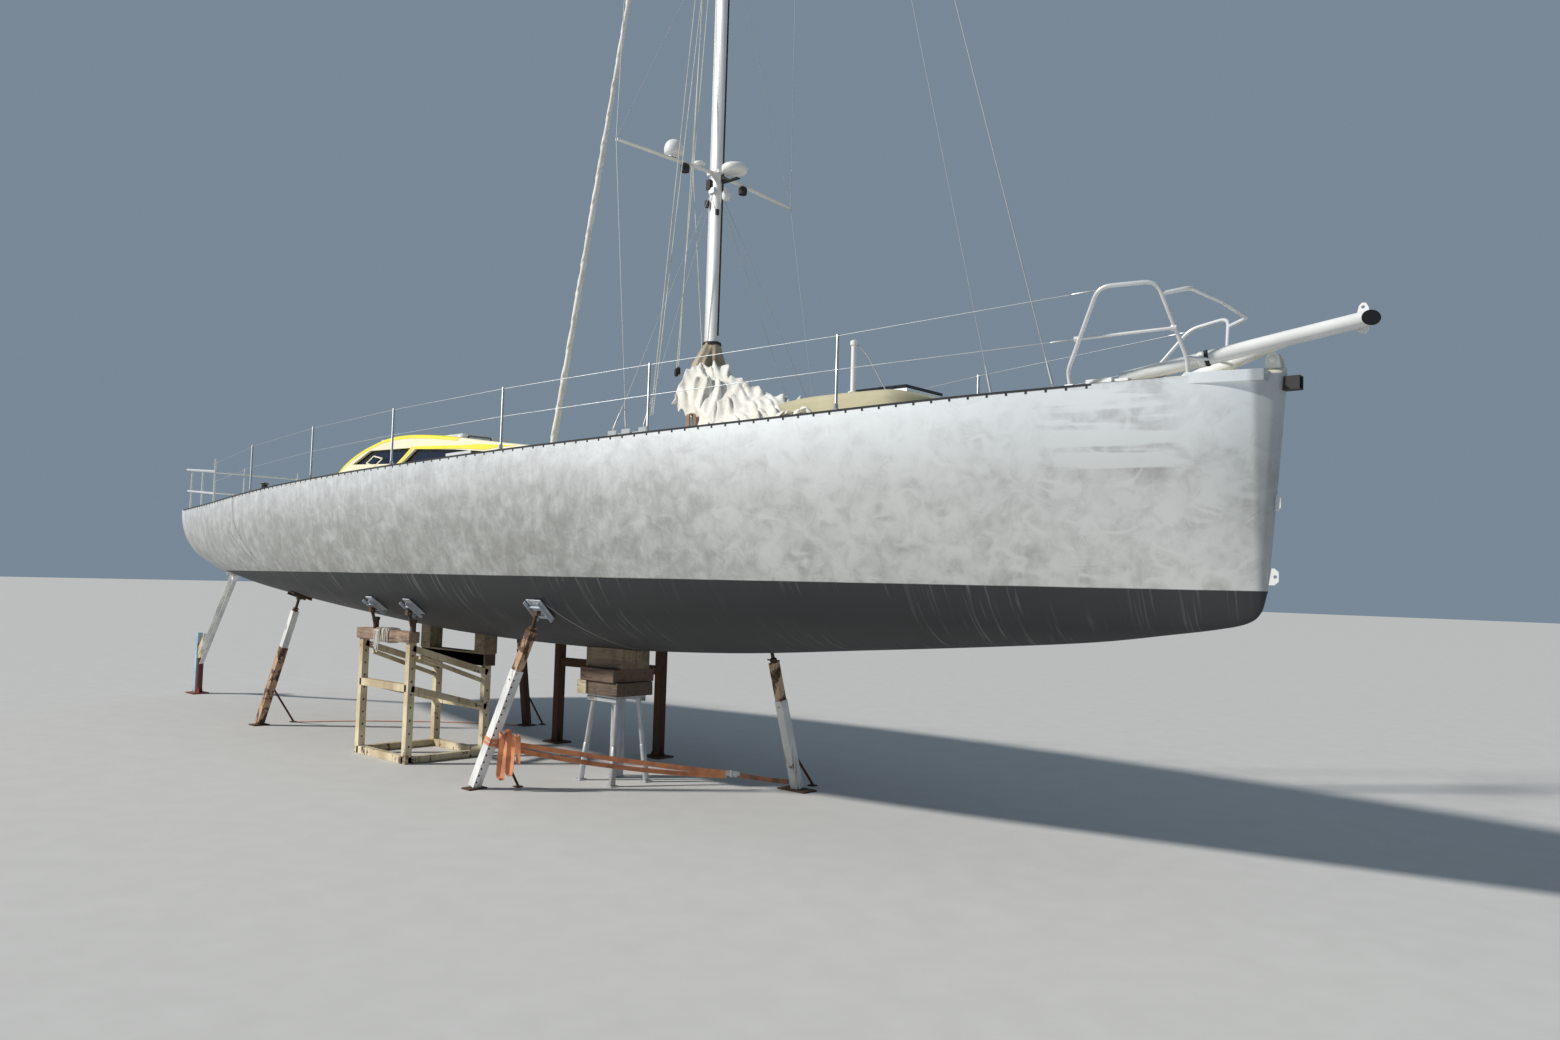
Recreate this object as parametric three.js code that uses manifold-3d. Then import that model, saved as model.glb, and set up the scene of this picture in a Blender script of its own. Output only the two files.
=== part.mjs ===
// Sailing yacht of bare ground aluminium, laid up ashore on props, frames and a trestle.
// Millimetres. +X is the bow, +Y is port, +Z is up, and the origin is on the ground.
// A place along the hull is given as "aft", the distance behind the stem at the waterline.
import * as THREE from 'three';
import { mergeVertices } from 'three/addons/utils/BufferGeometryUtils.js';
import Module from 'manifold-3d';

const wasm = await Module();
wasm.setup();

// Driving dimensions
const STEM_X = 8672;
const WATERLINE = 2250;
const SEAT_GAP = 0.4;
const HULL_LENGTH = 16500;
const STEM_RAKE = 120;
const RAKED_LENGTH = 1200;
const SECTION_STEPS = 11;
const DECK_THICKNESS = 30;
const DECK_CAMBER = 0.035;
const MAST_AFT = 5800;
const MAST_TOP = 20250;
const HOUNDS = 17600;
const MAST_LONG = 172;
const MAST_WIDE = 128;
const WIRE = 7;

// Hull stations: aft, half beam at deck, deck edge above waterline, depth below waterline, fullness
const STATIONS = [
  [0, 60, 1605, -20, 0.45],
  [40, 112, 1607, 120, 0.45],
  [120, 172, 1608, 200, 0.45],
  [320, 285, 1607, 256, 0.45],
  [700, 432, 1590, 320, 0.45],
  [1300, 640, 1560, 410, 0.47],
  [2200, 920, 1512, 500, 0.50],
  [3500, 1240, 1435, 612, 0.56],
  [5300, 1570, 1350, 755, 0.62],
  [7200, 1830, 1265, 820, 0.66],
  [9500, 2000, 1160, 780, 0.70],
  [11500, 1975, 1075, 640, 0.74],
  [13300, 1830, 990, 490, 0.77],
  [14600, 1670, 925, 370, 0.76],
  [15500, 1540, 895, 265, 0.72],
  [16150, 1430, 880, 205, 0.66],
  [16500, 1360, 875, 150, 0.62],
];
const [AFT, BEAM, SHEER, DEPTH, FULL] = [0, 1, 2, 3, 4];

// Solids and meshes
const group = new THREE.Group();

function solid(geometry) {
  const bare = geometry.index ? geometry.toNonIndexed() : geometry.clone();
  bare.deleteAttribute('normal');
  bare.deleteAttribute('uv');
  const merged = mergeVertices(bare, 0.01);
  return new wasm.Manifold(new wasm.Mesh({
    numProp: 3,
    vertProperties: new Float32Array(merged.attributes.position.array),
    triVerts: new Uint32Array(merged.index.array),
  }));
}

function fromSolid(body) {
  const mesh = body.getMesh();
  const geometry = new THREE.BufferGeometry();
  geometry.setAttribute('position', new THREE.BufferAttribute(new Float32Array(mesh.vertProperties), 3));
  geometry.setIndex(new THREE.BufferAttribute(new Uint32Array(mesh.triVerts), 1));
  return geometry;
}

function join(bodies) {
  return bodies.reduce((sum, body) => sum.add(body));
}

function add(name, body, finish) {
  const geometry = body.isBufferGeometry ? body : fromSolid(body);
  geometry.computeVertexNormals();
  const mesh = new THREE.Mesh(geometry, new THREE.MeshStandardMaterial(finish));
  mesh.name = name;
  group.add(mesh);
  return mesh;
}

// Finishes
const BARE_ALUMINIUM = { color: 0xa9adb0, roughness: 0.42, metalness: 0.9 };
const WHITE_ALUMINIUM = { color: 0xd6d8d8, roughness: 0.45, metalness: 0.5 };
const CREAM = { color: 0xe4dcc4, roughness: 0.5, metalness: 0 };
const STAINLESS = { color: 0xc9ccce, roughness: 0.25, metalness: 1 };
const BLACK = { color: 0x1b1c1e, roughness: 0.5, metalness: 0 };
const DARK_GLASS = { color: 0x0e1216, roughness: 0.08, metalness: 0 };
const CANVAS = { color: 0xdedad0, roughness: 0.9, metalness: 0 };
const TIMBER = { color: 0x8a6a48, roughness: 0.85, metalness: 0 };
const RUST = { color: 0x5b3424, roughness: 0.9, metalness: 0.3 };
const GREY_STEEL = { color: 0x9a9c9a, roughness: 0.6, metalness: 0.4 };
const CREAM_STEEL = { color: 0xd8d0b4, roughness: 0.7, metalness: 0.1 };
const ORANGE_WEB = { color: 0xc8683a, roughness: 0.9, metalness: 0 };

// Shapes
const ALONG = new THREE.Vector3(1, 0, 0);
const ACROSS = new THREE.Vector3(0, 1, 0);
const UP = new THREE.Vector3(0, 0, 1);
const at = (aft, y, z) => new THREE.Vector3(STEM_X - aft, y, z);

function box(aft0, aft1, y0, y1, z0, z1) {
  const geometry = new THREE.BoxGeometry(aft1 - aft0, y1 - y0, z1 - z0);
  geometry.translate(STEM_X - (aft0 + aft1) / 2, (y0 + y1) / 2, (z0 + z1) / 2);
  return solid(geometry);
}

function rod(from, to, radius, sides = 8, endRadius = radius) {
  const span = new THREE.Vector3().subVectors(to, from);
  const geometry = new THREE.CylinderGeometry(endRadius, radius, span.length(), sides);
  const turn = new THREE.Quaternion().setFromUnitVectors(ACROSS, span.clone().normalize());
  geometry.applyQuaternion(turn);
  geometry.translate((from.x + to.x) / 2, (from.y + to.y) / 2, (from.z + to.z) / 2);
  return solid(geometry);
}

function bar(from, to, wide, deep, up = UP) {
  const along = new THREE.Vector3().subVectors(to, from);
  const geometry = new THREE.BoxGeometry(wide, deep, along.length());
  const z = along.clone().normalize();
  const x = new THREE.Vector3().crossVectors(up, z).normalize();
  const y = new THREE.Vector3().crossVectors(z, x);
  geometry.applyMatrix4(new THREE.Matrix4().makeBasis(x, y, z));
  geometry.translate((from.x + to.x) / 2, (from.y + to.y) / 2, (from.z + to.z) / 2);
  return solid(geometry);
}

class BentPath extends THREE.Curve {
  constructor(corners, radius, arcSteps = 3) {
    super();
    this.stops = [corners[0]];
    for (let i = 1; i < corners.length - 1; i += 1) {
      const back = new THREE.Vector3().subVectors(corners[i - 1], corners[i]);
      const ahead = new THREE.Vector3().subVectors(corners[i + 1], corners[i]);
      const reach = Math.min(radius, back.length() * 0.45, ahead.length() * 0.45);
      const start = corners[i].clone().addScaledVector(back.normalize(), reach);
      const end = corners[i].clone().addScaledVector(ahead.normalize(), reach);
      const arc = new THREE.QuadraticBezierCurve3(start, corners[i], end);
      this.stops.push(...arc.getPoints(arcSteps));
    }
    this.stops.push(corners[corners.length - 1]);
    this.steps = this.stops.length - 1;
  }

  getPoint(t) {
    const place = t * this.steps;
    const i = Math.min(Math.floor(place + 1e-9), this.steps - 1);
    return new THREE.Vector3().lerpVectors(this.stops[i], this.stops[i + 1], place - i);
  }

  getPointAt(u) {
    return this.getPoint(u);
  }

  getTangentAt(u) {
    const h = 0.5 / this.steps;
    const ahead = this.getPoint(Math.min(u + h, 1));
    return ahead.sub(this.getPoint(Math.max(u - h, 0))).normalize();
  }
}

function bent(corners, radius, bend, sides = 7) {
  const path = new BentPath(corners, bend);
  const ring = new THREE.Shape(
    Array.from({ length: sides }, (_, i) => {
      const angle = (i / sides) * Math.PI * 2;
      return new THREE.Vector2(Math.cos(angle) * radius, Math.sin(angle) * radius);
    }),
  );
  const sweep = { steps: path.steps, extrudePath: path, bevelEnabled: false };
  return solid(new THREE.ExtrudeGeometry(ring, sweep));
}

// A side-view outline of [aft, z] points, made solid from y0 to y1
function sidePlate(outline, y0, y1) {
  const shape = new THREE.Shape(outline.map(([aft, z]) => new THREE.Vector2(STEM_X - aft, z)));
  const geometry = new THREE.ExtrudeGeometry(shape, { depth: y1 - y0, bevelEnabled: false });
  geometry.rotateX(Math.PI / 2);
  geometry.translate(0, y1, 0);
  return solid(geometry);
}

// An end-view outline of [y, z] points, made solid from aft0 to aft1
function endPlate(outline, aft0, aft1) {
  const shape = new THREE.Shape(outline.map(([y, z]) => new THREE.Vector2(y, z)));
  const geometry = new THREE.ExtrudeGeometry(shape, { depth: aft1 - aft0, bevelEnabled: false });
  geometry.applyMatrix4(new THREE.Matrix4().set(
    0, 0, 1, STEM_X - aft1,
    1, 0, 0, 0,
    0, 1, 0, 0,
    0, 0, 0, 1,
  ));
  return solid(geometry);
}

const SIDES = [[-1, 'starboard'], [1, 'port']];

function mirrored(make) {
  return SIDES.map(([side]) => make(side));
}

function addPair(name, make, finish) {
  SIDES.forEach(([side, word]) => add(`${name}_${word}`, make(side), finish));
}

// Hull form
function station(aft) {
  const last = STATIONS.length - 1;
  const i = Math.min(Math.max(STATIONS.findIndex((row) => row[AFT] > aft) - 1, 0), last - 1);
  const next = aft >= STATIONS[last][AFT] ? last : i + 1;
  const low = STATIONS[next - 1];
  const high = STATIONS[next];
  const share = (aft - low[AFT]) / (high[AFT] - low[AFT]);
  const ahead = STATIONS[Math.min(next + 1, last)];
  const behind = STATIONS[Math.max(next - 2, 0)];
  return low.map((value, column) => {
    if (column === AFT) {
      return aft;
    }
    const run = high[AFT] - low[AFT];
    const slopeIn = next - 2 < 0 ? (high[column] - value) / run
      : (high[column] - behind[column]) / (high[AFT] - behind[AFT]);
    const slopeOut = next + 1 > last ? (high[column] - value) / run
      : (ahead[column] - value) / (ahead[AFT] - low[AFT]);
    const t = share;
    return value * (2 * t ** 3 - 3 * t ** 2 + 1) + slopeIn * run * (t ** 3 - 2 * t ** 2 + t)
      + high[column] * (3 * t ** 2 - 2 * t ** 3) + slopeOut * run * (t ** 3 - t ** 2);
  });
}

function halfSection(aft, inset = 0) {
  const row = station(aft);
  const beam = row[BEAM] - inset;
  const top = row[SHEER];
  const keel = -row[DEPTH] + inset;
  const curve = new THREE.CubicBezierCurve(
    new THREE.Vector2(0, keel),
    new THREE.Vector2(beam * row[FULL], keel),
    new THREE.Vector2(beam * 1.0, top - (top - keel) * 0.68),
    new THREE.Vector2(beam, top),
  );
  return curve.getPoints(SECTION_STEPS);
}

function rake(aft, height) {
  return STEM_RAKE * Math.max(0, 1 - aft / RAKED_LENGTH) * Math.max(0, height / 1600);
}

function loft(sections) {
  const count = sections[0].length;
  const positions = sections.flat().flatMap((point) => [point.x, point.y, point.z]);
  const index = [];
  for (let i = 0; i < sections.length - 1; i += 1) {
    for (let j = 0; j < count; j += 1) {
      const a = i * count + j;
      const b = i * count + ((j + 1) % count);
      index.push(a, a + count, b, b, a + count, b + count);
    }
  }
  const end = (sections.length - 1) * count;
  for (let j = 1; j < count - 1; j += 1) {
    index.push(0, j, j + 1);
    index.push(end, end + j + 1, end + j);
  }
  const geometry = new THREE.BufferGeometry();
  geometry.setAttribute('position', new THREE.Float32BufferAttribute(positions, 3));
  geometry.setIndex(index);
  const body = solid(geometry);
  return body;
}

const HULL_STEPS = [0, 40, 120, 320, 700, 1300, 2200, 3500, 4400, 5300, 6250, 7200, 8350, 9500, 10500,
  11500, 12400, 13300, 14000, 14600, 15100, 15500, 15850, 16150, HULL_LENGTH];

function hullLoft(shrink = 0) {
  const sections = HULL_STEPS.map((aft) => {
    const half = halfSection(aft, shrink);
    const ring = [...half.map((p) => [-p.x, p.y]).reverse(), ...half.slice(1).map((p) => [p.x, p.y])];
    return ring.map(([y, height]) => at(aft - rake(aft, height), y, WATERLINE + height));
  });
  return loft(sections);
}

// The deck edge: its half breadth and its height over the ground
const deckHalf = (aft) => station(aft)[BEAM];
const deckEdge = (aft) => WATERLINE + station(aft)[SHEER];
const deckTop = (aft, y = 0) => {
  const half = deckHalf(aft);
  return deckEdge(aft) + DECK_THICKNESS + DECK_CAMBER * half * 2 * (1 - (y / half) ** 2);
};

function deckLoft() {
  const sections = HULL_STEPS.map((aft) => {
    const half = deckHalf(aft);
    const floor = deckEdge(aft) + SEAT_GAP;
    const top = [1, 0.6, 0.2, -0.2, -0.6, -1].map((share) => [share * half, deckTop(aft, share * half)]);
    const ring = [[-half, floor], [half, floor], ...top];
    return ring.map(([y, z]) => at(aft - rake(aft, z - WATERLINE), y, z));
  });
  return loft(sections);
}

// Cockpit and saloon wells
const COCKPIT = { from: 12750, to: 15350, half: 900, bench: 330, sole: 760, footHalf: 380, inset: 60 };
const SALOON = { from: 8900, to: 12150, half: 640, sole: 2350 };
const wellTop = 4600;
const benchZ = deckEdge(14000) - COCKPIT.bench;
const soleZ = deckEdge(14000) - COCKPIT.sole;
const upperWell = box(COCKPIT.from, COCKPIT.to, -COCKPIT.half, COCKPIT.half, benchZ, wellTop);
const footWell = box(COCKPIT.from + COCKPIT.inset, COCKPIT.to - 420, -COCKPIT.footHalf, COCKPIT.footHalf,
  soleZ, wellTop);
const saloonWell = box(SALOON.from, SALOON.to, -SALOON.half, SALOON.half, SALOON.sole, wellTop);
const wholeHull = hullLoft();
const hull = wholeHull.subtract(upperWell).subtract(footWell).subtract(saloonWell);
add('hull', hull, BARE_ALUMINIUM);
const seatHull = wholeHull.translate([0, 0, -SEAT_GAP]);

const wholeDeck = deckLoft();
const deck = wholeDeck.subtract(upperWell).subtract(footWell).subtract(saloonWell);
add('deck', deck, CREAM);
const DECK_OVERLAP = 20;
const belowDeck = join([wholeDeck.translate([0, 0, SEAT_GAP]), wholeDeck.translate([0, 0, -DECK_OVERLAP]),
  wholeHull]);

// Doghouse
const DOGHOUSE = { base: 960, top: 800, wall: 40, front: 7050, back: 12380 };
const ROOF = [
  [12300, 3420], [12050, 3700], [11580, 3890], [11100, 3985], [10600, 4005], [9400, 3905],
  [8700, 3815], [7900, 3715], [7050, 3620],
];
const LEAN_TOP = 4100;
const LEAN_FOOT = 3250;

function doghouseBlock(inset) {
  const roof = ROOF.map(([aft, z]) => [aft, z - inset]);
  const floor = LEAN_FOOT - 50;
  const outline = [[DOGHOUSE.front + inset, floor], ...roof.slice().reverse(), [DOGHOUSE.back - inset, floor]];
  const body = sidePlate(outline, -1200, 1200);
  const foot = DOGHOUSE.base - inset;
  const head = DOGHOUSE.top - inset;
  const lean = endPlate([[-foot, LEAN_FOOT - 200], [foot, LEAN_FOOT - 200], [head, LEAN_TOP],
    [-head, LEAN_TOP]], DOGHOUSE.front - 400 + inset, DOGHOUSE.back + 200 - inset * 7);
  return body.intersect(lean);
}

const LONG_WINDOW = [[10330, 3830], [10600, 3660], [9600, 3600], [8650, 3570], [8560, 3690], [9400, 3775]];
const AFT_WINDOW = [[11880, 3690], [11500, 3850], [10520, 3850], [10760, 3672]];
const DOOR = { half: 300, aft: 12150 };

function windowCut(outline, side) {
  return side < 0 ? sidePlate(outline, -1300, -500) : sidePlate(outline, 500, 1300);
}

const windowCuts = mirrored((side) => [windowCut(LONG_WINDOW, side), windowCut(AFT_WINDOW, side)]).flat();
const cabinRoom = doghouseBlock(DOGHOUSE.wall).intersect(box(8300, 12340, -1200, 1200, 3000, 4100));
const doorway = box(11980, 12600, -DOOR.half, DOOR.half, 3000, 3860);
const slideway = box(11250, 12340, -DOOR.half, DOOR.half, 3700, 4400);
const doghouse = windowCuts.reduce(
  (body, cut) => body.subtract(cut),
  doghouseBlock(0).subtract(cabinRoom).subtract(doorway).subtract(slideway),
).subtract(belowDeck);
add('doghouse_shell', doghouse, CREAM);

const paneLayer = doghouseBlock(DOGHOUSE.wall + SEAT_GAP).subtract(doghouseBlock(DOGHOUSE.wall + 10));
const PANE = [
  [12000, 3640], [11860, 3760], [11500, 3900], [10300, 3890], [8480, 3760], [8400, 3530], [9600, 3560],
];
addPair('doghouse_pane', (side) => paneLayer.intersect(windowCut(PANE, side))
  .intersect(box(8320, 12330, -1200, 1200, 3450, 3868)).subtract(belowDeck), DARK_GLASS);

// Companionway: a sliding hatch on the roof and a fixed washboard in the doorway
const slideZ = 4040;
const SLIDE = { fore: 10000, aft: 12020, rail: 345, thick: 30, floor: 3780, lidFore: 11180, lidHigh: 36 };
const slideStop = box(SLIDE.fore, SLIDE.fore + 40, -SLIDE.rail, SLIDE.rail, SLIDE.floor, slideZ);
const slideRunners = mirrored((side) => box(SLIDE.fore, SLIDE.aft, side * SLIDE.rail - SLIDE.thick / 2,
  side * SLIDE.rail + SLIDE.thick / 2, SLIDE.floor, slideZ));
const slideRails = join([...slideRunners, slideStop]).subtract(doghouseBlock(-SEAT_GAP));
add('companionway_rails', slideRails, BARE_ALUMINIUM);
const slideHatch = box(SLIDE.lidFore, SLIDE.aft + 40, -SLIDE.rail - 27, SLIDE.rail + 27, slideZ + SEAT_GAP,
  slideZ + SLIDE.lidHigh);
add('companionway_slide', slideHatch, CREAM);

// Coachroof forward of the mast, with the hinged foredeck hatch on it
const COACHROOF = { from: 2760, to: 4180, half: 600, high: 190, noseDrop: 60 };
const coachTop = deckTop(COACHROOF.to) + COACHROOF.high;
const coachroof = sidePlate([
  [COACHROOF.from, 3400], [COACHROOF.from + 40, coachTop - 45], [COACHROOF.from + 160, coachTop - 12],
  [COACHROOF.to - 60, coachTop], [COACHROOF.to, coachTop - 60], [COACHROOF.to, 3400],
], -COACHROOF.half, COACHROOF.half).subtract(belowDeck);
add('coachroof', coachroof, CREAM);

const HATCH = { from: 3020, to: 3620, half: 290, thick: 42, lift: 12 };
const hatchFloor = coachTop - 12 + 11;
const hatchSeat = box(HATCH.from - 40, HATCH.to + 40, -HATCH.half - 40, HATCH.half + 40,
  coachTop - 60, hatchFloor + 18);
const hatchKnuckles = join([-190, 190].map((y) => box(HATCH.to + 8, HATCH.to + 36, y - 25, y + 25,
  hatchFloor, hatchFloor + 50)));
add('hatch_coaming', hatchSeat.subtract(coachroof.translate([0, 0, SEAT_GAP])).add(hatchKnuckles),
  BARE_ALUMINIUM);
const hatchLid = box(HATCH.from, HATCH.to - 2, -HATCH.half, HATCH.half, hatchFloor + 18 + SEAT_GAP,
  hatchFloor + 18 + HATCH.thick);
add('hatch_lid', hatchLid, DARK_GLASS);

// Deck edge: slotted toe rail, stanchions and lifelines
const TOE = { from: 620, to: 16380, wide: 12, high: 55, inset: 4 };

function toeRail(side) {
  const stops = [TOE.from, ...HULL_STEPS.filter((aft) => aft > TOE.from && aft < TOE.to), TOE.to];
  const sections = stops.map((aft) => {
    const outer = deckHalf(aft) - TOE.inset;
    const inner = outer - TOE.wide;
    const floor = deckTop(aft, outer) - 3;
    const pair = side > 0 ? [inner, outer] : [-outer, -inner];
    const [left, right] = pair;
    const top = floor + TOE.high;
    const ring = [[left, floor], [right, floor], [right, top], [left, top]];
    return ring.map(([y, z]) => at(aft - rake(aft, z - WATERLINE), y, z));
  });
  return loft(sections);
}
addPair('toe_rail', (side) => toeRail(side).subtract(belowDeck), BARE_ALUMINIUM);

const STANCHION_AFT = [3150, 5100, 7050, 8950, 10850, 12900];
const STANCHION = { high: 625, radius: 13, inset: 62, base: 34, plate: 8 };
const LIFELINE = { upper: 606, lower: 318, radius: 4 };
const railY = (aft) => deckHalf(aft) - STANCHION.inset;

function stanchion(aft, side) {
  const y = side * railY(aft);
  const floor = deckTop(aft, y);
  const foot = box(aft - STANCHION.base, aft + STANCHION.base, y - 28, y + 28, floor - DECK_OVERLAP,
    floor + STANCHION.plate);
  return rod(at(aft, y, floor), at(aft, y, floor + STANCHION.high), STANCHION.radius, 8)
    .add(foot).subtract(belowDeck);
}

// Pulpit at the bow and pushpit round the stern
const RAIL = { radius: 16, bend: 90 };
const PULPIT = {
  aftFoot: [1276, 575], knee: [1205, 575, 4150], topAft: [1072, 500, 4533], topFore: [735, 400, 4551],
  foreFoot: [452, 318], cross: [600, 0, 4575], mid: 4180,
};

function pulpitSide(side) {
  const spot = ([aft, y, z]) => at(aft, side * y, z);
  const footZ = ([aft, y]) => deckTop(aft, y) - 4;
  const frame = bent([
    spot([...PULPIT.aftFoot, footZ(PULPIT.aftFoot)]), spot(PULPIT.knee), spot(PULPIT.topAft),
    spot(PULPIT.topFore), spot([...PULPIT.foreFoot, footZ(PULPIT.foreFoot)]),
  ], RAIL.radius, RAIL.bend);
  const mid = rod(spot([1195, 568, PULPIT.mid]), spot([583, 356, PULPIT.mid + 12]), 12);
  const feet = [PULPIT.aftFoot, PULPIT.foreFoot].map(([aft, y]) => box(aft - 34, aft + 34, side * y - 26,
    side * y + 26, deckTop(aft, y) - 20, deckTop(aft, y) + 8));
  return join([frame, mid, ...feet]);
}
const cross = bent([
  at(700, -388, 4480), at(640, -330, 4562), at(...PULPIT.cross), at(640, 330, 4562), at(700, 388, 4480),
], RAIL.radius, 120);
add('pulpit', join([...mirrored(pulpitSide), cross]).subtract(belowDeck), STAINLESS);

const PUSHPIT = { gate: 14650, corner: 16330, half: 1250, top: 640, mid: 330 };

function pushpitRail(high, footed) {
  const gateY = railY(PUSHPIT.gate);
  const gateZ = deckTop(PUSHPIT.gate, gateY);
  const cornerZ = deckTop(PUSHPIT.corner, PUSHPIT.half);
  const leg = (side) => [...(footed ? [at(PUSHPIT.gate, side * gateY, gateZ - 4)] : []),
    at(PUSHPIT.gate, side * gateY, gateZ + high), at(PUSHPIT.corner, side * PUSHPIT.half, cornerZ + high)];
  return bent([...leg(-1), ...leg(1).reverse()], RAIL.radius, 110);
}

function footPlate(aft, y) {
  const floor = deckTop(aft, y);
  return box(aft - 30, aft + 30, y - 26, y + 26, floor - DECK_OVERLAP, floor + 8);
}

function pushpitPost(aft, y, high) {
  const floor = deckTop(aft, y);
  return rod(at(aft, y, floor - 4), at(aft, y, floor + high), RAIL.radius - 2).add(footPlate(aft, y));
}
const pushpitPosts = mirrored((side) => [
  pushpitPost(15500, side * (railY(PUSHPIT.gate) + PUSHPIT.half) / 2, 615),
  pushpitPost(16280, side * (PUSHPIT.half - 10), 615),
  pushpitPost(PUSHPIT.corner, side * 450, 665),
  footPlate(PUSHPIT.gate, side * railY(PUSHPIT.gate)),
]).flat();
const pushpit = join([pushpitRail(PUSHPIT.top, true), pushpitRail(PUSHPIT.mid, false), ...pushpitPosts]);
add('pushpit', pushpit.subtract(belowDeck), STAINLESS);

function lifeline(side, high, foreEnd, aftHigh) {
  const posts = STANCHION_AFT.map((aft) => {
    const y = side * railY(aft);
    return at(aft, y, deckTop(aft, y) + high);
  });
  const gateY = railY(PUSHPIT.gate);
  const aftEnd = at(PUSHPIT.gate, side * gateY, deckTop(PUSHPIT.gate, gateY) + aftHigh);
  const stops = [at(...foreEnd(side)), ...posts, aftEnd];
  const foreGap = stops[1].clone().sub(stops[0]).setLength(RAIL.radius + 3);
  const aftGap = posts[posts.length - 1].clone().sub(aftEnd).setLength(RAIL.radius + SEAT_GAP);
  stops[0].add(foreGap);
  stops[stops.length - 1].add(aftGap);
  return join(stops.slice(1).map((to, i) => rod(stops[i], to, LIFELINE.radius, 6)));
}

function guardRail(side) {
  const upper = lifeline(side, LIFELINE.upper, (s) => [1092, s * 515, 4475], 560);
  const lower = lifeline(side, LIFELINE.lower, (s) => [1217.5, s * 575, 4100], 290);
  return join([...STANCHION_AFT.map((aft) => stanchion(aft, side)), upper, lower]);
}
addPair('guard_rail', guardRail, STAINLESS);

// Bow: platform wings beside the narrow foredeck, stem head, anchor roller and stem tangs
const grown = (body) => join([[0, SEAT_GAP, 0], [0, -SEAT_GAP, 0], [SEAT_GAP, 0, 0], [0, 0, SEAT_GAP],
  [0, 0, -SEAT_GAP]].map((shift) => body.translate(shift)));
const PLATFORM = { from: -30, to: 520, half: 292, thick: 108, top: 3890 };
const grownHull = grown(wholeHull);
const grownDeck = grown(wholeDeck);
const platformBlock = box(PLATFORM.from, PLATFORM.to, -PLATFORM.half, PLATFORM.half,
  PLATFORM.top - PLATFORM.thick, PLATFORM.top);
const starboardHalf = box(-2000, 3000, -3000, 0, 0, 9000);
const platformWings = platformBlock.subtract(grownHull).subtract(grownDeck);
addPair('bow_platform', (side) => (side < 0 ? platformWings.intersect(starboardHalf)
  : platformWings.subtract(starboardHalf)), BARE_ALUMINIUM);

const stemTop = deckTop(0) + 1;
const cheekOutline = [[25, stemTop - 6], [25, stemTop + 60], [5, stemTop + 108], [-30, stemTop + 128],
  [-70, stemTop + 118], [-100, stemTop + 84], [-112, stemTop + 20], [-112, stemTop - 6]];
const cheeks = mirrored((side) => sidePlate(cheekOutline, side * 47 - 7, side * 47 + 7));
const roller = rod(at(-40, -45, stemTop + 60), at(-40, 45, stemTop + 60), 26, 12);
add('stem_head', join([...cheeks, roller]).subtract(belowDeck), WHITE_ALUMINIUM);
const rollerBox = box(-225, -100, -42, 42, 3722, 3822);
add('anchor_roller_box', rollerBox.subtract(grownHull), BLACK);

const TANGS = [['upper', -45, 2915], ['lower', -34, 2384]];
TANGS.forEach(([word, nose, z]) => {
  const plate = sidePlate([[60, z - 60], [nose - 14, z - 60], [nose - 44, z - 34], [nose - 44, z + 34],
    [nose - 14, z + 60], [60, z + 60]], -8, 8);
  const eye = rod(at(nose - 20, -30, z), at(nose - 20, 30, z), 13, 10);
  add(`stem_tang_${word}`, plate.subtract(eye).subtract(grownHull), WHITE_ALUMINIUM);
});

// Bowsprit: two legs from the foredeck that meet at the tip
const SPRIT = { foot: 970, spread: 360, tip: -660, tipZ: 4178, radius: 47 };
const spritFootZ = deckTop(SPRIT.foot, SPRIT.spread) + 12;
const legs = mirrored((side) => rod(at(SPRIT.foot, side * SPRIT.spread, spritFootZ),
  at(SPRIT.tip, 0, SPRIT.tipZ), SPRIT.radius, 14));
const spritFeet = mirrored((side) => box(SPRIT.foot - 90, SPRIT.foot + 80, side * SPRIT.spread - 70,
  side * SPRIT.spread + 70, spritFootZ - 60, spritFootZ + 2));
const saddleAt = 60;
const saddleShare = (SPRIT.foot - saddleAt) / (SPRIT.foot - SPRIT.tip);
const saddles = mirrored((side) => {
  const y = side * SPRIT.spread * (1 - saddleShare);
  const z = spritFootZ + (SPRIT.tipZ - spritFootZ) * saddleShare;
  return box(saddleAt - 40, saddleAt + 40, y - 20, y + 20, PLATFORM.top - 20, z);
});
const TIP_LUG = [
  [-570, 4060], [-700, 4085], [-716, 4180], [-712, 4262], [-690, 4288], [-650, 4288], [-628, 4262], [-570, 4200],
];
const LUG_HOLES = [[-672, 4256], [-690, 4105]];
const tipLug = sidePlate(TIP_LUG, -9, 9);
const lugHoles = LUG_HOLES.map(([aft, z]) => rod(at(aft, -40, z), at(aft, 40, z), 11, 10));
const spritWhole = join([...legs, ...spritFeet, ...saddles, tipLug]);
const sprit = lugHoles.reduce((body, hole) => body.subtract(hole), spritWhole)
  .subtract(belowDeck)
  .subtract(platformBlock.translate([0, 0, SEAT_GAP]));
add('bowsprit', sprit, WHITE_ALUMINIUM);

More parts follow.
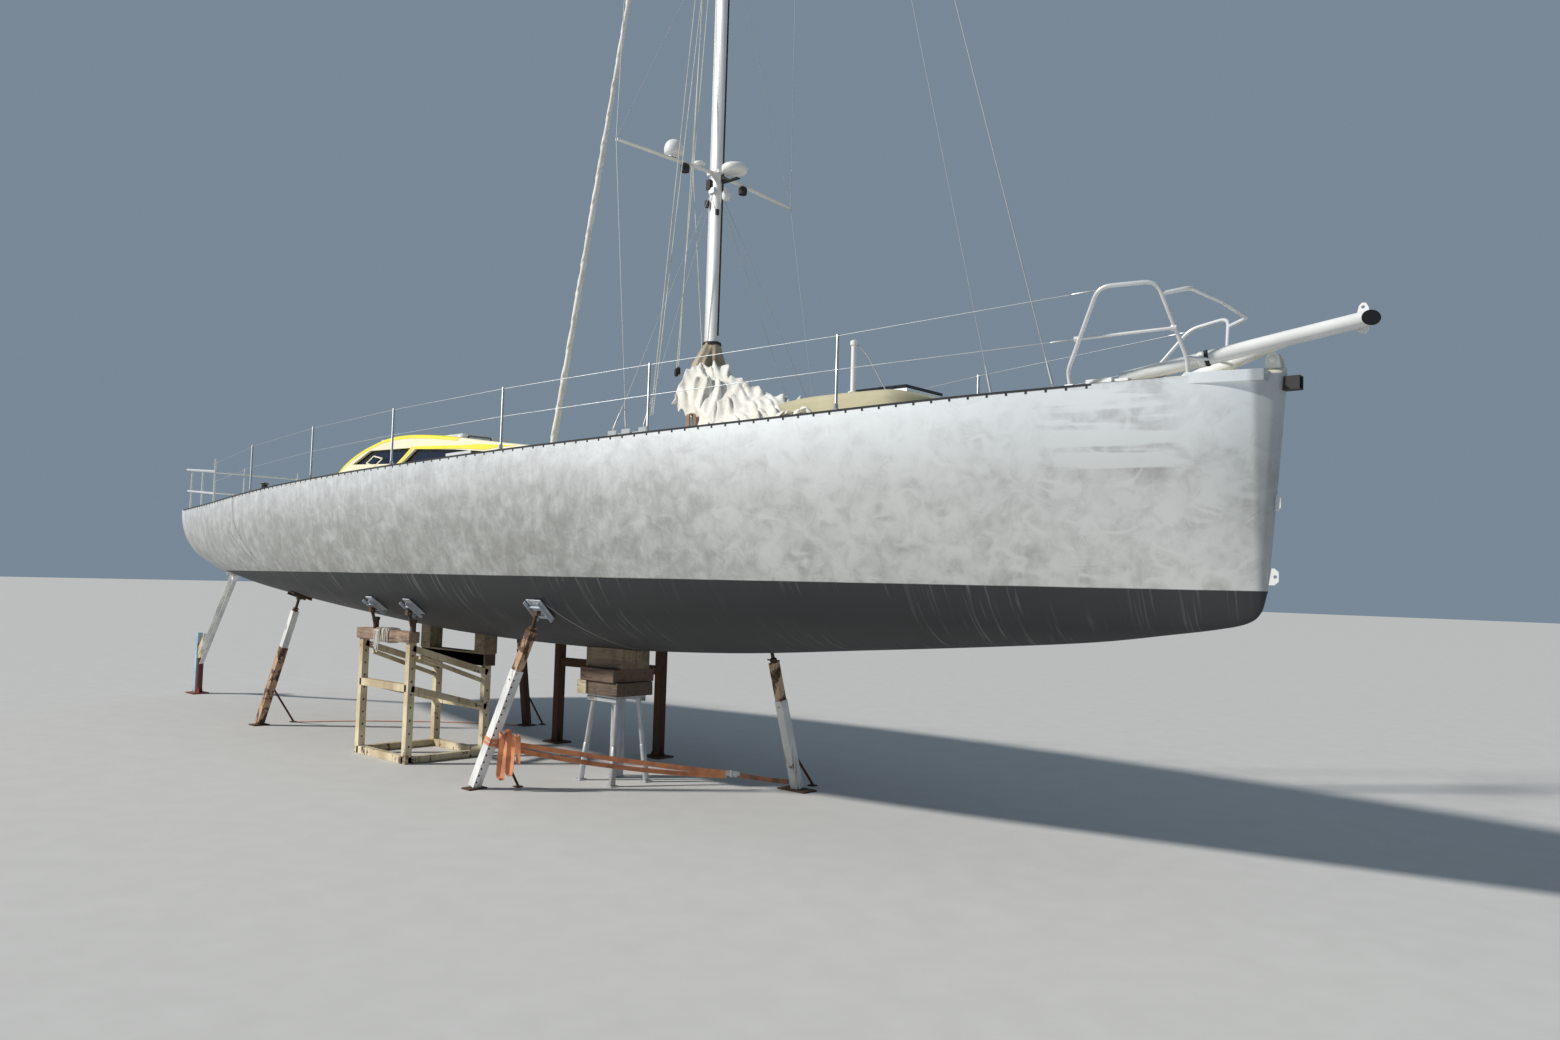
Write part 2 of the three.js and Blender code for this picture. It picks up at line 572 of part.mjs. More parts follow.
// Mast, spreaders and standing rigging
const SPREADERS = [[6630, 1300], [9500, 1240], [12400, 1130], [15150, 960]];
const [LEVEL, REACH] = [0, 1];
const MAST_START = 3600;
const mastFoot = deckTop(MAST_AFT, MAST_WIDE) + 4;
const sectionStops = Array.from({ length: 16 }, (_, i) => (i / 16) * Math.PI * 2);
const mastOutline = new THREE.Shape(sectionStops.map((a) => new THREE.Vector2(
  Math.cos(a) * MAST_LONG / 2, Math.sin(a) * MAST_WIDE / 2)));
const mastRun = { depth: MAST_TOP - MAST_START, bevelEnabled: false };
const mastGeometry = new THREE.ExtrudeGeometry(mastOutline, mastRun);
mastGeometry.translate(STEM_X - MAST_AFT, 0, MAST_START);
const TANG = { long: 40, out: 84, high: 60 };
const tangLevels = [6400, ...SPREADERS.slice(1).map((row) => row[LEVEL] - 110), HOUNDS];
const mastTangs = tangLevels.flatMap((z) => mirrored((side) => {
  const [y0, y1] = side > 0 ? [50, TANG.out] : [-TANG.out, -50];
  return box(MAST_AFT - TANG.long, MAST_AFT + TANG.long, y0, y1, z, z + TANG.high);
}));
const stayTangs = [box(MAST_AFT - 125, MAST_AFT - 60, -12, 12, HOUNDS, HOUNDS + 90),
  box(MAST_AFT + 60, MAST_AFT + 130, -12, 12, 16150, 16230)];
const mastStep = box(MAST_AFT - 150, MAST_AFT + 150, -120, 120, mastFoot - 90, mastFoot + 30);
// Spreader pairs go through slots in the mast, with the first pair carrying lamps and a flat aerial
const tipAft = (row) => MAST_AFT + 110 - row * 20;
const SPREADER = { thick: 22, chord: 78, cap: 20 };

function spreaderArms([z, reach], row, grow) {
  return mirrored((side) => bar(at(MAST_AFT + 10, 0, z), at(tipAft(row), side * reach, z),
    SPREADER.thick + grow, SPREADER.chord + grow, ALONG));
}

function spreaderPair([z, reach], row) {
  const half = SPREADER.thick / 2;
  const caps = mirrored((side) => box(tipAft(row) - SPREADER.cap, tipAft(row) + SPREADER.cap,
    side * reach - 16, side * reach + 16, z - half, z + half));
  return join([...spreaderArms([z, reach], row, 0), ...caps]);
}
const mastWhole = join([solid(mastGeometry), ...mastTangs, ...stayTangs, mastStep]).subtract(belowDeck);
const mast = SPREADERS.reduce((body, row, i) => body.subtract(join(spreaderArms(row, i, SEAT_GAP * 2))),
  mastWhole);
add('mast', mast, WHITE_ALUMINIUM);
const mastSkin = solid(mastGeometry);

function lathe(profile, aft, y, z, sides) {
  const geometry = new THREE.LatheGeometry(profile.map(([r, h]) => new THREE.Vector2(r, h)), sides);
  geometry.rotateX(Math.PI / 2);
  geometry.translate(STEM_X - aft, y, z);
  return solid(geometry);
}
const discProfile = [[0, -6], [26, -6], [26, 20], [62, 28], [62, 48], [0, 56]];
const lampProfile = [[0, -84], [46, -84], [50, -20], [22, 0], [22, 6], [0, 6]];
const gearZ = SPREADERS[0][LEVEL];
const spreaderGear = [lathe(discProfile, MAST_AFT + 22, -250, gearZ + 11, 12),
  ...mirrored((side) => lathe(lampProfile, MAST_AFT + 40, side * 440, gearZ - 11, 10))];
SPREADERS.forEach((row, i) => {
  const pair = spreaderPair(row, i);
  add(`spreaders_${i + 1}`, i === 0 ? join([pair, ...spreaderGear]) : pair, WHITE_ALUMINIUM);
});

// Shrouds of one side with the chainplate that they share: [aft, y] of each foot
const CAP_FOOT = [5450, 1440];
const LOWER_FEET = [[5250, 1400], [5640, 1450]];
const LINK_ENDS = [[5200, 1400], [5700, 1450]];
const PLATE_HIGH = 60;
const wire = (from, to, radius = WIRE / 2) => rod(from, to, radius, 6);

function deckPlate(aft, y, long) {
  const floor = deckTop(aft, y);
  return box(aft - long, aft + long, y - 7, y + 7, floor - 30, floor + PLATE_HIGH)
    .add(box(aft - long - 15, aft + long + 15, y - 25, y + 25, floor - 30, floor + 8));
}

function shrouds(side) {
  const tipOut = 16 + SEAT_GAP + WIRE / 2 + 2;
  const foot = ([aft, y]) => at(aft, side * y, deckTop(aft, y) + PLATE_HIGH - 20);
  const tips = SPREADERS.map(([z, reach], row) => at(tipAft(row), side * (reach + tipOut + row * 1.5), z));
  const stops = [foot(CAP_FOOT), ...tips, at(MAST_AFT + 10, side * 74, HOUNDS - SEAT_GAP - 1)];
  const cap = bent(stops, WIRE / 2, 40, 6);
  const diagonals = SPREADERS.slice(1).map(([z], row) => {
    const start = new THREE.Vector3().lerpVectors(tips[row], tips[row + 1], 0.02);
    return wire(start, at(MAST_AFT, side * 74, z - 110 - SEAT_GAP - 2));
  });
  const lowers = LOWER_FEET.map((spot, i) => wire(foot(spot),
    at(MAST_AFT - 22 + i * 44, side * 74, 6400 - SEAT_GAP - 2)));
  const strip = LOWER_FEET.concat([CAP_FOOT]).map(([aft, y]) => deckPlate(aft, side * y, 60));
  const link = bar(...LINK_ENDS.map(([aft, y]) => at(aft, side * y, deckTop(aft, y))), 50, 24);
  return join([cap, ...diagonals, ...lowers, ...strip, link]).subtract(belowDeck);
}
addPair('shrouds', shrouds, STAINLESS);

const FORESTAYS = [['outer', 1730, WIRE / 2 + 2], ['inner', 2320, WIRE / 2]];
FORESTAYS.forEach(([word, aft, radius], i) => {
  const line = wire(at(aft, 0, deckTop(aft) + PLATE_HIGH - 20), at(MAST_AFT - 117 + i * 26, 0,
    HOUNDS - SEAT_GAP - 1), radius);
  add(`forestay_${word}`, line.add(deckPlate(aft, 0, 30)).subtract(belowDeck), STAINLESS);
});

const ROLL = { aft: 7950, y: -450, radius: 40, top: 16150 };
const rollFoot = 3722;
const rollTop = at(MAST_AFT + 96, 0, ROLL.top - 6);
const aboveRoll = box(MAST_AFT - 400, MAST_AFT + 200, -100, 100, ROLL.top - SEAT_GAP, ROLL.top + 300);
const rolled = rod(at(ROLL.aft, ROLL.y, rollFoot - 30), rollTop, ROLL.radius, 10, 14)
  .subtract(doghouse.translate([0, 0, SEAT_GAP]))
  .subtract(mastWhole.translate([-SEAT_GAP, 0, 0]))
  .subtract(aboveRoll);
add('rolled_sail', rolled, CANVAS);

// Radar and dome aerials
const radomeCentre = MAST_AFT - MAST_LONG / 2 - 175;
const radomeProfile = [
  [0, -70], [105, -70], [138, -48], [150, -10], [150, 14], [128, 52], [80, 70], [0, 76],
];
const radomeArm = box(radomeCentre - 60, MAST_AFT - MAST_LONG / 2 + 30, -28, 28, gearZ - 118, gearZ - 60);
add('radome', lathe(radomeProfile, radomeCentre, 0, gearZ, 16).add(radomeArm.subtract(
  mastSkin.translate([SEAT_GAP, 0, 0]))), WHITE_ALUMINIUM);
const domeProfile = [[0, 0], [60, 0], [60, 26], [96, 40], [100, 100], [82, 150], [44, 180], [0, 190]];
add('dome_aerial', lathe(domeProfile, MAST_AFT + 50, -600, gearZ + 11 + SEAT_GAP, 14), WHITE_ALUMINIUM);

// Canvas on deck at the mast: the sleeve round the mast and the bundled sail forward of it
const sleeveRing = new THREE.Shape(sectionStops.map((a) => new THREE.Vector2(
  Math.cos(a) * (MAST_LONG / 2 + 26), Math.sin(a) * (MAST_WIDE / 2 + 26))));
sleeveRing.holes.push(new THREE.Path(sectionStops.map((a) => new THREE.Vector2(
  Math.cos(a) * (MAST_LONG / 2 + SEAT_GAP), Math.sin(a) * (MAST_WIDE / 2 + SEAT_GAP)))));
const sleeve = new THREE.ExtrudeGeometry(sleeveRing, { depth: 400, bevelEnabled: false });
sleeve.translate(STEM_X - MAST_AFT, 0, 4360);
add('mast_sleeve', solid(sleeve), { color: 0xb79f7c, roughness: 0.9, metalness: 0 });

// Bundle sections: aft, centre y, half width, height over the deck
const BUNDLE = [
  [4200, -430, 130, 70], [4450, -400, 300, 190], [4800, -350, 420, 330], [5150, -330, 460, 560],
  [5420, -330, 440, 760], [5590, -330, 260, 640],
];
const bundleSections = BUNDLE.map(([aft, centre, half, high]) => Array.from({ length: 12 }, (_, i) => {
  const angle = (i / 12) * Math.PI * 2;
  const floor = deckTop(aft, centre) - 30;
  return at(aft, centre + Math.cos(angle) * half, floor + high * (0.5 + Math.sin(angle) * 0.5));
}));
add('sail_bundle', loft(bundleSections).subtract(belowDeck), CANVAS);

// Cockpit gear: winches and tiller
const WINCHES = [[13750, 1250]];
const winchBase = [
  [0, 0], [82, 0], [82, 14], [64, 34], [24, 36], [20, 36], [20, 132], [34, 134], [34, 148], [0, 148],
];
const winchDrum = [[20.9, 41], [60, 41], [64, 52], [44, 66], [40, 104], [58, 122], [56, 130], [20.9, 130]];
const winchSpots = WINCHES.flatMap(([aft, y]) => mirrored((side) => [aft, side * y]));
const winchFloor = (aft, y) => deckTop(aft, Math.abs(y) - 82) + SEAT_GAP;
winchSpots.forEach(([aft, y], i) => {
  const floor = winchFloor(aft, y);
  const pad = lathe([[0, -40], [90, -40], [90, 1], [0, 1]], aft, y, floor, 12);
  add(`winch_base_${i + 1}`, lathe(winchBase, aft, y, floor, 14).add(pad).subtract(belowDeck), STAINLESS);
  add(`winch_drum_${i + 1}`, lathe([...winchDrum, winchDrum[0]], aft, y, floor, 14), BLACK);
});

const TILLER = { aft: 15620, long: 1350, lift: 150 };
const headZ = deckTop(TILLER.aft, 110);
const headProfile = [[0, -30], [120, -30], [120, 12], [78, 16], [70, 90], [0, 90]];
const headBearing = lathe(headProfile, TILLER.aft, 0, headZ, 16);
add('rudder_head', headBearing.subtract(belowDeck), BARE_ALUMINIUM);
const tillerHub = lathe([[0, 0], [66, 0], [66, 86], [40, 96], [0, 96]], TILLER.aft, 0, headZ + 90.8, 16);
const armZ = headZ + 140;
const tillerArm = bar(at(TILLER.aft, 0, armZ), at(TILLER.aft - TILLER.long, 0, armZ + TILLER.lift), 46, 52);
add('tiller', tillerHub.add(tillerArm), TIMBER);

// Ashore: props, frames and the trestle that hold the hull up
function hullUnder(aft, y) {
  const curve = halfSection(aft);
  const across = Math.abs(y);
  const i = Math.max(curve.findIndex((point) => point.x > across), 1);
  const [inner, outer] = [curve[i - 1], curve[i]];
  const slope = (outer.y - inner.y) / (outer.x - inner.x);
  return { z: WATERLINE + inner.y + slope * (across - inner.x), slope: slope * Math.sign(y) };
}

function hullNormal(aft, y) {
  return new THREE.Vector3(0, hullUnder(aft, y).slope, -1).normalize();
}

function seatedPad(aft, y, long, wide, thick) {
  const normal = hullNormal(aft, y);
  const seat = at(aft, y, hullUnder(aft, y).z);
  const inside = seat.clone().addScaledVector(normal, -40);
  const outside = seat.clone().addScaledVector(normal, thick);
  return bar(inside, outside, long, wide, ACROSS).subtract(seatHull);
}

// Props: name, foot, head, share of the height where the tube joins, base plate length, brace toe from the foot
const PROPS = [
  ['prop_near_mid', [7430, -1640], [6890, -1290], 0.68, 230, [330, -80]],
  ['prop_far_fore', [5240, 960], [5330, 560], 0.6, 420, [-60, 330]],
  ['prop_near_aft', [13360, -1310], [12860, -1050], 0.72, 190, [-330, -60]],
  ['prop_far_aft', [11220, 1700], [11050, 1330], 0.62, 200, [-60, 240]],
];
const propBodies = PROPS.map(([, foot, head, split, base, brace]) => {
  const ground = at(...foot, 14);
  const seat = at(...head, hullUnder(...head).z).addScaledVector(hullNormal(...head), 28);
  const joint = new THREE.Vector3().lerpVectors(ground, seat, split);
  const lower = bar(ground, joint, 92, 92, ACROSS);
  const plate = box(foot[0] - base / 2, foot[0] + base / 2, foot[1] - 110, foot[1] + 110, 0, 14);
  const toe = at(foot[0] + brace[0], foot[1] + brace[1], 16);
  const knee = new THREE.Vector3().lerpVectors(ground, seat, 0.3);
  const stay = rod(toe, knee, 16, 6).add(box(foot[0] + brace[0] - 40, foot[0] + brace[0] + 40,
    foot[1] + brace[1] - 40, foot[1] + brace[1] + 40, 0, 22));
  const below = box(foot[0] - 1500, foot[0] + 1500, foot[1] - 1500, foot[1] + 1500, -300, 0);
  const screw = rod(ground, seat, 30, 10).add(seatedPad(...head, 330, 240, 34)).subtract(seatHull);
  return join([lower, plate, stay, screw]).subtract(below);
});
PROPS.forEach(([name], i) => add(name, propBodies[i], GREY_STEEL));

// Stern prop: a slanted channel up to the hull from a short tube on a foot
const STERN_PROP = { foot: [17900, -430], head: [16330, -540] };
const sternSeat = at(...STERN_PROP.head, hullUnder(...STERN_PROP.head).z);
const sternPost = rod(at(...STERN_PROP.foot, 0), at(...STERN_PROP.foot, 1200), 62, 12);
const channel = bar(at(STERN_PROP.foot[0] - 40, STERN_PROP.foot[1], 560), sternSeat, 150, 70,
  ACROSS);
const sternFoot = box(17740, 18060, -570, -290, 0, 24);
add('prop_stern', join([sternPost, sternFoot, channel, seatedPad(...STERN_PROP.head, 200, 200, 40)])
  .subtract(seatHull), GREY_STEEL);

// Box-section steel frame with a timber beam, blocks and tilted pads
const FRAME = { fore: 9250, aft: 10500, near: -1400, far: -370, tube: 70, nearTop: 1400, farTop: 1100 };
const frameTube = (from, to, up = ACROSS) => bar(at(...from), at(...to), FRAME.tube, FRAME.tube, up);
const nearlyAcross = new THREE.Vector3(0.01, 1, 0);
const mid = { near: 870, far: 600 };
const baseZ = FRAME.tube / 2;
const ends = [FRAME.fore, FRAME.aft];
const posts = ends.flatMap((aft) => [
  frameTube([aft, FRAME.near, 0], [aft, FRAME.near, FRAME.nearTop]),
  frameTube([aft, FRAME.far, 0], [aft, FRAME.far, FRAME.farTop]),
]);
const SIDE_LEVELS = [[FRAME.nearTop - 60, FRAME.farTop - 80], [mid.near, mid.far], [baseZ, baseZ]];
const sideRails = ends.flatMap((aft) => SIDE_LEVELS.map(([nearZ, farZ]) => frameTube(
  [aft, FRAME.near, nearZ], [aft, FRAME.far, farZ], nearlyAcross)));
const LONG_LEVELS = [[FRAME.near, mid.near], [FRAME.far, mid.far], [FRAME.near, baseZ], [FRAME.far, baseZ]];
const longRails = LONG_LEVELS.map(([y, z]) => frameTube([FRAME.fore, y, z], [FRAME.aft, y, z], UP));
add('cradle_frame', join([...posts, ...sideRails, ...longRails]), CREAM_STEEL);
const beamZ = FRAME.nearTop + SEAT_GAP;
const BEAM_SIZE = { half: 70, high: 130, over: 100 };
const timberBeam = box(FRAME.fore - BEAM_SIZE.over, FRAME.aft + BEAM_SIZE.over, FRAME.near - BEAM_SIZE.half,
  FRAME.near + BEAM_SIZE.half, beamZ, beamZ + BEAM_SIZE.high);
const padPosts = [9400, 10150].map((aft) => {
  const y = FRAME.near;
  return bar(at(aft, y, beamZ + 100), at(aft, y, hullUnder(aft, y).z + 20), 90, 90, ACROSS)
    .add(seatedPad(aft, y, 260, 220, 60)).subtract(seatHull);
});
add('cradle_beam', join([timberBeam, ...padPosts]), TIMBER);
const BLOCK = { half: 110, wide: 90, floor: 1250, top: 1700 };
const farBeam = box(FRAME.fore - BEAM_SIZE.over, FRAME.aft + BEAM_SIZE.over, FRAME.far - 80, FRAME.far + 80,
  FRAME.farTop + SEAT_GAP, BLOCK.floor + 10);
const farBlocks = ends.map((aft) => box(aft - BLOCK.half, aft + BLOCK.half, FRAME.far - BLOCK.wide,
  FRAME.far + BLOCK.wide, BLOCK.floor, BLOCK.top));
add('cradle_blocks', join([farBeam, ...farBlocks]).subtract(seatHull), TIMBER);

// Rusty post pair on the far side
const POSTS = [[9600, 1040], [7830, 1270]];
const POST_WIDE = 110;
const rustyPosts = POSTS.map(([aft, y]) => {
  const head = at(aft, y, hullUnder(aft, y).z + 60);
  const plate = box(aft - 150, aft + 150, y - 130, y + 130, 0, 20);
  return bar(at(aft, y, 0), head, POST_WIDE, POST_WIDE, ACROSS).add(plate);
});
const tie = bar(at(POSTS[0][0], POSTS[0][1], 1080), at(POSTS[1][0], POSTS[1][1], 1080), 90, 110);
add('far_posts', join([...rustyPosts, tie]).subtract(seatHull), RUST);

// Four-legged trestle with a stack of timber under the keel line
const TRESTLE = { aft: 6900, y: -220, top: 950, head: [190, 150], spread: [270, 240], tube: 24 };
const corners = mirrored((side) => mirrored((end) => ({ side, end }))).flat();
const trestleSpot = ({ side, end }, [long, wide], z) => at(TRESTLE.aft + end * long, TRESTLE.y + side * wide, z);
const trestleLegs = corners.map((corner) => rod(trestleSpot(corner, TRESTLE.spread, 12),
  trestleSpot(corner, TRESTLE.head, TRESTLE.top - 10), TRESTLE.tube));
const trestleFeet = corners.map(({ side, end }) => {
  const aft = TRESTLE.aft + end * TRESTLE.spread[0];
  const y = TRESTLE.y + side * TRESTLE.spread[1];
  return box(aft - 50, aft + 50, y - 50, y + 50, 0, 16);
});
const TOP_PLATE = { half: 250, wide: 210, thick: 30 };
const trestleTop = box(TRESTLE.aft - TOP_PLATE.half, TRESTLE.aft + TOP_PLATE.half, TRESTLE.y - TOP_PLATE.wide,
  TRESTLE.y + TOP_PLATE.wide, TRESTLE.top - TOP_PLATE.thick, TRESTLE.top);
add('trestle', join([...trestleLegs, ...trestleFeet, trestleTop]), GREY_STEEL);
// Baulks: bottom height, thickness, half length fore and aft, half width
const BAULKS = [[950, 150, 330, 270], [1100, 145, 290, 300], [1245, 400, 320, 200]];
const baulks = BAULKS.map(([z, thick, long, wide]) => box(TRESTLE.aft - long, TRESTLE.aft + long,
  TRESTLE.y - wide, TRESTLE.y + wide, z + SEAT_GAP, z + thick + 1));
add('timber_stack', join(baulks).subtract(seatHull), TIMBER);

// Lashing strap pulled tight between the near and far props
const STRAP_Z = 130;
const strapEnds = [PROPS[0], PROPS[1]].map(([, foot, head]) => {
  const share = STRAP_Z / hullUnder(...head).z;
  return at(foot[0] + (head[0] - foot[0]) * share, foot[1] + (head[1] - foot[1]) * share, STRAP_Z);
});
const WEBBING = { wide: 50, thick: 5 };
const strap = propBodies.slice(0, 2).reduce((body, prop) => body.subtract(grown(prop)),
  bar(...strapEnds, WEBBING.wide, WEBBING.thick));
add('lashing_strap', strap, ORANGE_WEB);

export default group;
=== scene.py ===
# %% [markdown]
# A sailing yacht of bare ground aluminium, laid up ashore on props, a steel frame and a trestle.
# The imported model is the frame: every piece made here sits on it and rides on one of its bodies,
# so the first step is to load it.

# %% Load the frame
import random
import bmesh
import bpy
import numpy as np
from math import copysign, cos, hypot, pi, radians, sin, sqrt
from mathutils import Matrix, Vector


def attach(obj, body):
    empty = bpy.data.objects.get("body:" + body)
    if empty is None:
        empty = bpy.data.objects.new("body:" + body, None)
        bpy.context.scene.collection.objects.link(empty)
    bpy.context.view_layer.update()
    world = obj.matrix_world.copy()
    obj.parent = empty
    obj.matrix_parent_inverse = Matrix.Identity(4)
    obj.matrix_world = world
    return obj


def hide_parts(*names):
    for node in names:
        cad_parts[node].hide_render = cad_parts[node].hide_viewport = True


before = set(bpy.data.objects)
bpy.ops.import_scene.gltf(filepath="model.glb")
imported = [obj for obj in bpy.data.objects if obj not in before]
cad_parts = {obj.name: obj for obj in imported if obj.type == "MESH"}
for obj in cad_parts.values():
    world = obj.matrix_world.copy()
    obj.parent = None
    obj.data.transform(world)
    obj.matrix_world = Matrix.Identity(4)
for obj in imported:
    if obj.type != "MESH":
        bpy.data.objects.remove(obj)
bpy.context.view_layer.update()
STEM = 8.672
WATERLINE = 2.25

# %% [markdown]
# The camera stands on the ground off the starboard bow, at eye height, with a wide lens that is
# tipped up a little and rolled a little. Its axes are built from the level heading, because a
# rolled camera is easier to state as three axes than as three angles.

# %% Camera
HEADING = Vector((-0.670, 0.742, 0)).normalized()
TILT = radians(3.1)
ROLL = radians(1.7)
level_right = Vector((HEADING.y, -HEADING.x, 0))
forward = HEADING * cos(TILT) + Vector((0, 0, sin(TILT)))
level_up = level_right.cross(forward)
right = level_right * cos(ROLL) + level_up * sin(ROLL)
up = level_up * cos(ROLL) - level_right * sin(ROLL)
lens = bpy.data.cameras.new("camera")
lens.sensor_width = 36
lens.lens = 26.0
lens.clip_end = 400
camera = bpy.data.objects.new("camera", lens)
camera.matrix_world = Matrix((right, up, -forward)).transposed().to_4x4()
AHEAD_OF_STEM, TO_STARBOARD, EYE_HEIGHT = 2.82, 8.37, 2.25
camera.location = (STEM + AHEAD_OF_STEM, -TO_STARBOARD, EYE_HEIGHT)
bpy.context.scene.collection.objects.link(camera)
bpy.context.scene.camera = camera
print("camera at", tuple(round(c, 2) for c in camera.location))

# %% [markdown]
# Shader maths reads best as plain arithmetic. A small class wraps one output of a node, and its
# operators add Math nodes, so that 1 - mask is a sum and not a box and two wires. The paint class
# holds one material: its node method makes any node, and mix and noise are the two used most.

# %% Signals and paints
class Signal:
    """One output of a shader node, with sums that add Math nodes."""

    def __init__(self, paint, socket):
        self.paint = paint
        self.socket = socket

    def math(self, operation, *terms):
        """The terms, signals or plain numbers, through one Math node."""
        return self.paint.node("ShaderNodeMath", {"operation": operation}, dict(enumerate(terms)))

    def __add__(self, other):
        return self.math("ADD", self, other)

    __radd__ = __add__

    def __sub__(self, other):
        return self.math("SUBTRACT", self, other)

    def __rsub__(self, other):
        return self.math("SUBTRACT", other, self)

    def __mul__(self, other):
        return self.math("MULTIPLY", self, other)

    __rmul__ = __mul__

    def __pow__(self, other):
        return self.math("POWER", self, other)

    def __abs__(self):
        return self.math("ABSOLUTE", self)

    def rise(self, low, high):
        """0 below low, 1 above high and smooth between; low may be the larger."""
        return self.paint.node("ShaderNodeMapRange", {"interpolation_type": "SMOOTHSTEP"},
                               {0: self, 1: low, 2: high})


class Paint:
    """A principled material and the nodes that feed it."""

    def __init__(self, name, **fixed):
        self.look = bpy.data.materials.new(name)
        self.look.use_nodes = True
        self.tree = self.look.node_tree
        self.shader = self.tree.nodes["Principled BSDF"]
        for key, value in fixed.items():
            self.shader.inputs[key.replace("_", " ")].default_value = value

    def node(self, kind, settings=None, sockets=None, out=0):
        """A node with its settings; a socket takes a signal or a number."""
        made = self.tree.nodes.new(kind)
        for key, value in (settings or {}).items():
            setattr(made, key, value)
        for key, value in (sockets or {}).items():
            if isinstance(value, Signal):
                self.tree.links.new(value.socket, made.inputs[key])
            else:
                made.inputs[key].default_value = value
        return Signal(self, made.outputs[out])

    def place(self):
        """Where a point of the surface is, in metres, in the shared frame."""
        return self.node("ShaderNodeTexCoord", out="Object")

    def scaled(self, where, x, y, z):
        return self.node("ShaderNodeVectorMath", {"operation": "MULTIPLY"}, {0: where, 1: (x, y, z)})

    def axes(self, where):
        return [self.node("ShaderNodeSeparateXYZ", sockets={0: where}, out=i) for i in range(3)]

    def point(self, x, y, z):
        return self.node("ShaderNodeCombineXYZ", sockets={0: x, 1: y, 2: z})

    def noise(self, where, scale, detail=4, rough=0.5, warp=0.0):
        return self.node("ShaderNodeTexNoise", sockets={
            "Vector": where, "Scale": scale, "Detail": detail, "Roughness": rough, "Distortion": warp})

    def mix(self, share, low, high):
        return self.node("ShaderNodeMix", {"data_type": "RGBA"}, {0: share, 6: low, 7: high}, out=2)

    def feed(self, **signals):
        """Signals into the shader's own inputs."""
        for key, value in signals.items():
            self.tree.links.new(value.socket, self.shader.inputs[key.replace("_", " ")])
        return self

    def bump(self, height, distance, strength=1.0):
        return self.feed(Normal=self.node("ShaderNodeBump", sockets={
            "Height": height, "Distance": distance, "Strength": strength}))


def tone(red, green, blue):
    return (red, green, blue, 1)


print("paints are ready")

# %% [markdown]
# Meshes are made from lists of points and faces. Each helper below returns such a pair, and a
# piece gathers any number of them into one object, so a rail with its feet is one piece. Tubes
# follow a path with a frame carried along it, which keeps them from twisting at bends. Places
# are given as a distance aft of the stem, a side (port is positive) and a height over the ground.

# %% Shapes
SIDES = ((-1, "starboard"), (1, "port"))


def at(aft, y, z):
    """The point that lies so far aft of the stem."""
    return Vector((STEM - aft, y, z))


def both(shape_of):
    """The shapes of the starboard side, then those of the port side."""
    return [shape for side, _ in SIDES for shape in shape_of(side)]


def skin(rows, count):
    """Faces over rows of count points each: closed round each row and capped at both ends."""
    faces = [(i * count + k, i * count + (k + 1) % count, (i + 1) * count + (k + 1) % count,
              (i + 1) * count + k) for i in range(rows - 1) for k in range(count)]
    return faces + [tuple(reversed(range(count))), tuple(range((rows - 1) * count, rows * count))]


def sheet_faces(rows, columns):
    """Faces of an open sheet of rows by columns points."""
    return [(i * columns + j, i * columns + j + 1, (i + 1) * columns + j + 1, (i + 1) * columns + j)
            for i in range(rows - 1) for j in range(columns - 1)]


def tube(path, radius, sides=12):
    """A round bar along the points of path; radius is one number or one for each point."""
    path = [Vector(p) for p in path]
    radii = [radius] * len(path) if isinstance(radius, (int, float)) else list(radius)
    side = None
    points = []
    for i, here in enumerate(path):
        ahead = (path[min(i + 1, len(path) - 1)] - path[max(i - 1, 0)]).normalized()
        if side is None:
            side = ahead.orthogonal().normalized()
        side = (side - ahead * side.dot(ahead)).normalized()
        other = ahead.cross(side)
        for k in range(sides):
            angle = 2 * pi * k / sides
            points.append(here + (side * cos(angle) + other * sin(angle)) * radii[i])
    return points, skin(len(path), sides)


UP = Vector((0, 0, 1))


def collar(root, way, start, long, soft, small, large, sides):
    """A ring on a bar: it starts at a distance along the way and its two rims are softened."""
    return tube([root + way * (start + d) for d in (0, soft, long - soft, long)],
                [small, large, large, small], sides)


def rounded(corners, bend, steps=6, closed=False):
    """The corners of a path with each inner corner turned into an arc."""
    corners = [Vector(c) for c in corners]
    if closed:
        corners = [corners[-1]] + corners + [corners[0]]
    path = [corners[0]]
    for before, corner, after in zip(corners, corners[1:], corners[2:]):
        reach = min(bend, (before - corner).length * 0.45, (after - corner).length * 0.45)
        start = corner + (before - corner).normalized() * reach
        end = corner + (after - corner).normalized() * reach
        for k in range(steps + 1):
            t = k / steps
            path.append(start * (1 - t) ** 2 + corner * 2 * t * (1 - t) + end * t * t)
    return path[1:] if closed else path + [corners[-1]]


def block(centre, sizes, axes=None):
    """A box about centre; sizes and axes are along its own three directions."""
    axes = [Vector(a) for a in (axes or ((1, 0, 0), (0, 1, 0), (0, 0, 1)))]
    points = [Vector(centre) + sum((axes[i] * sizes[i] * s[i] / 2 for i in range(3)), Vector())
              for s in ((-1, -1, -1), (1, -1, -1), (1, 1, -1), (-1, 1, -1),
                        (-1, -1, 1), (1, -1, 1), (1, 1, 1), (-1, 1, 1))]
    return points, [(0, 3, 2, 1), (4, 5, 6, 7), (0, 1, 5, 4), (1, 2, 6, 5), (2, 3, 7, 6), (3, 0, 4, 7)]


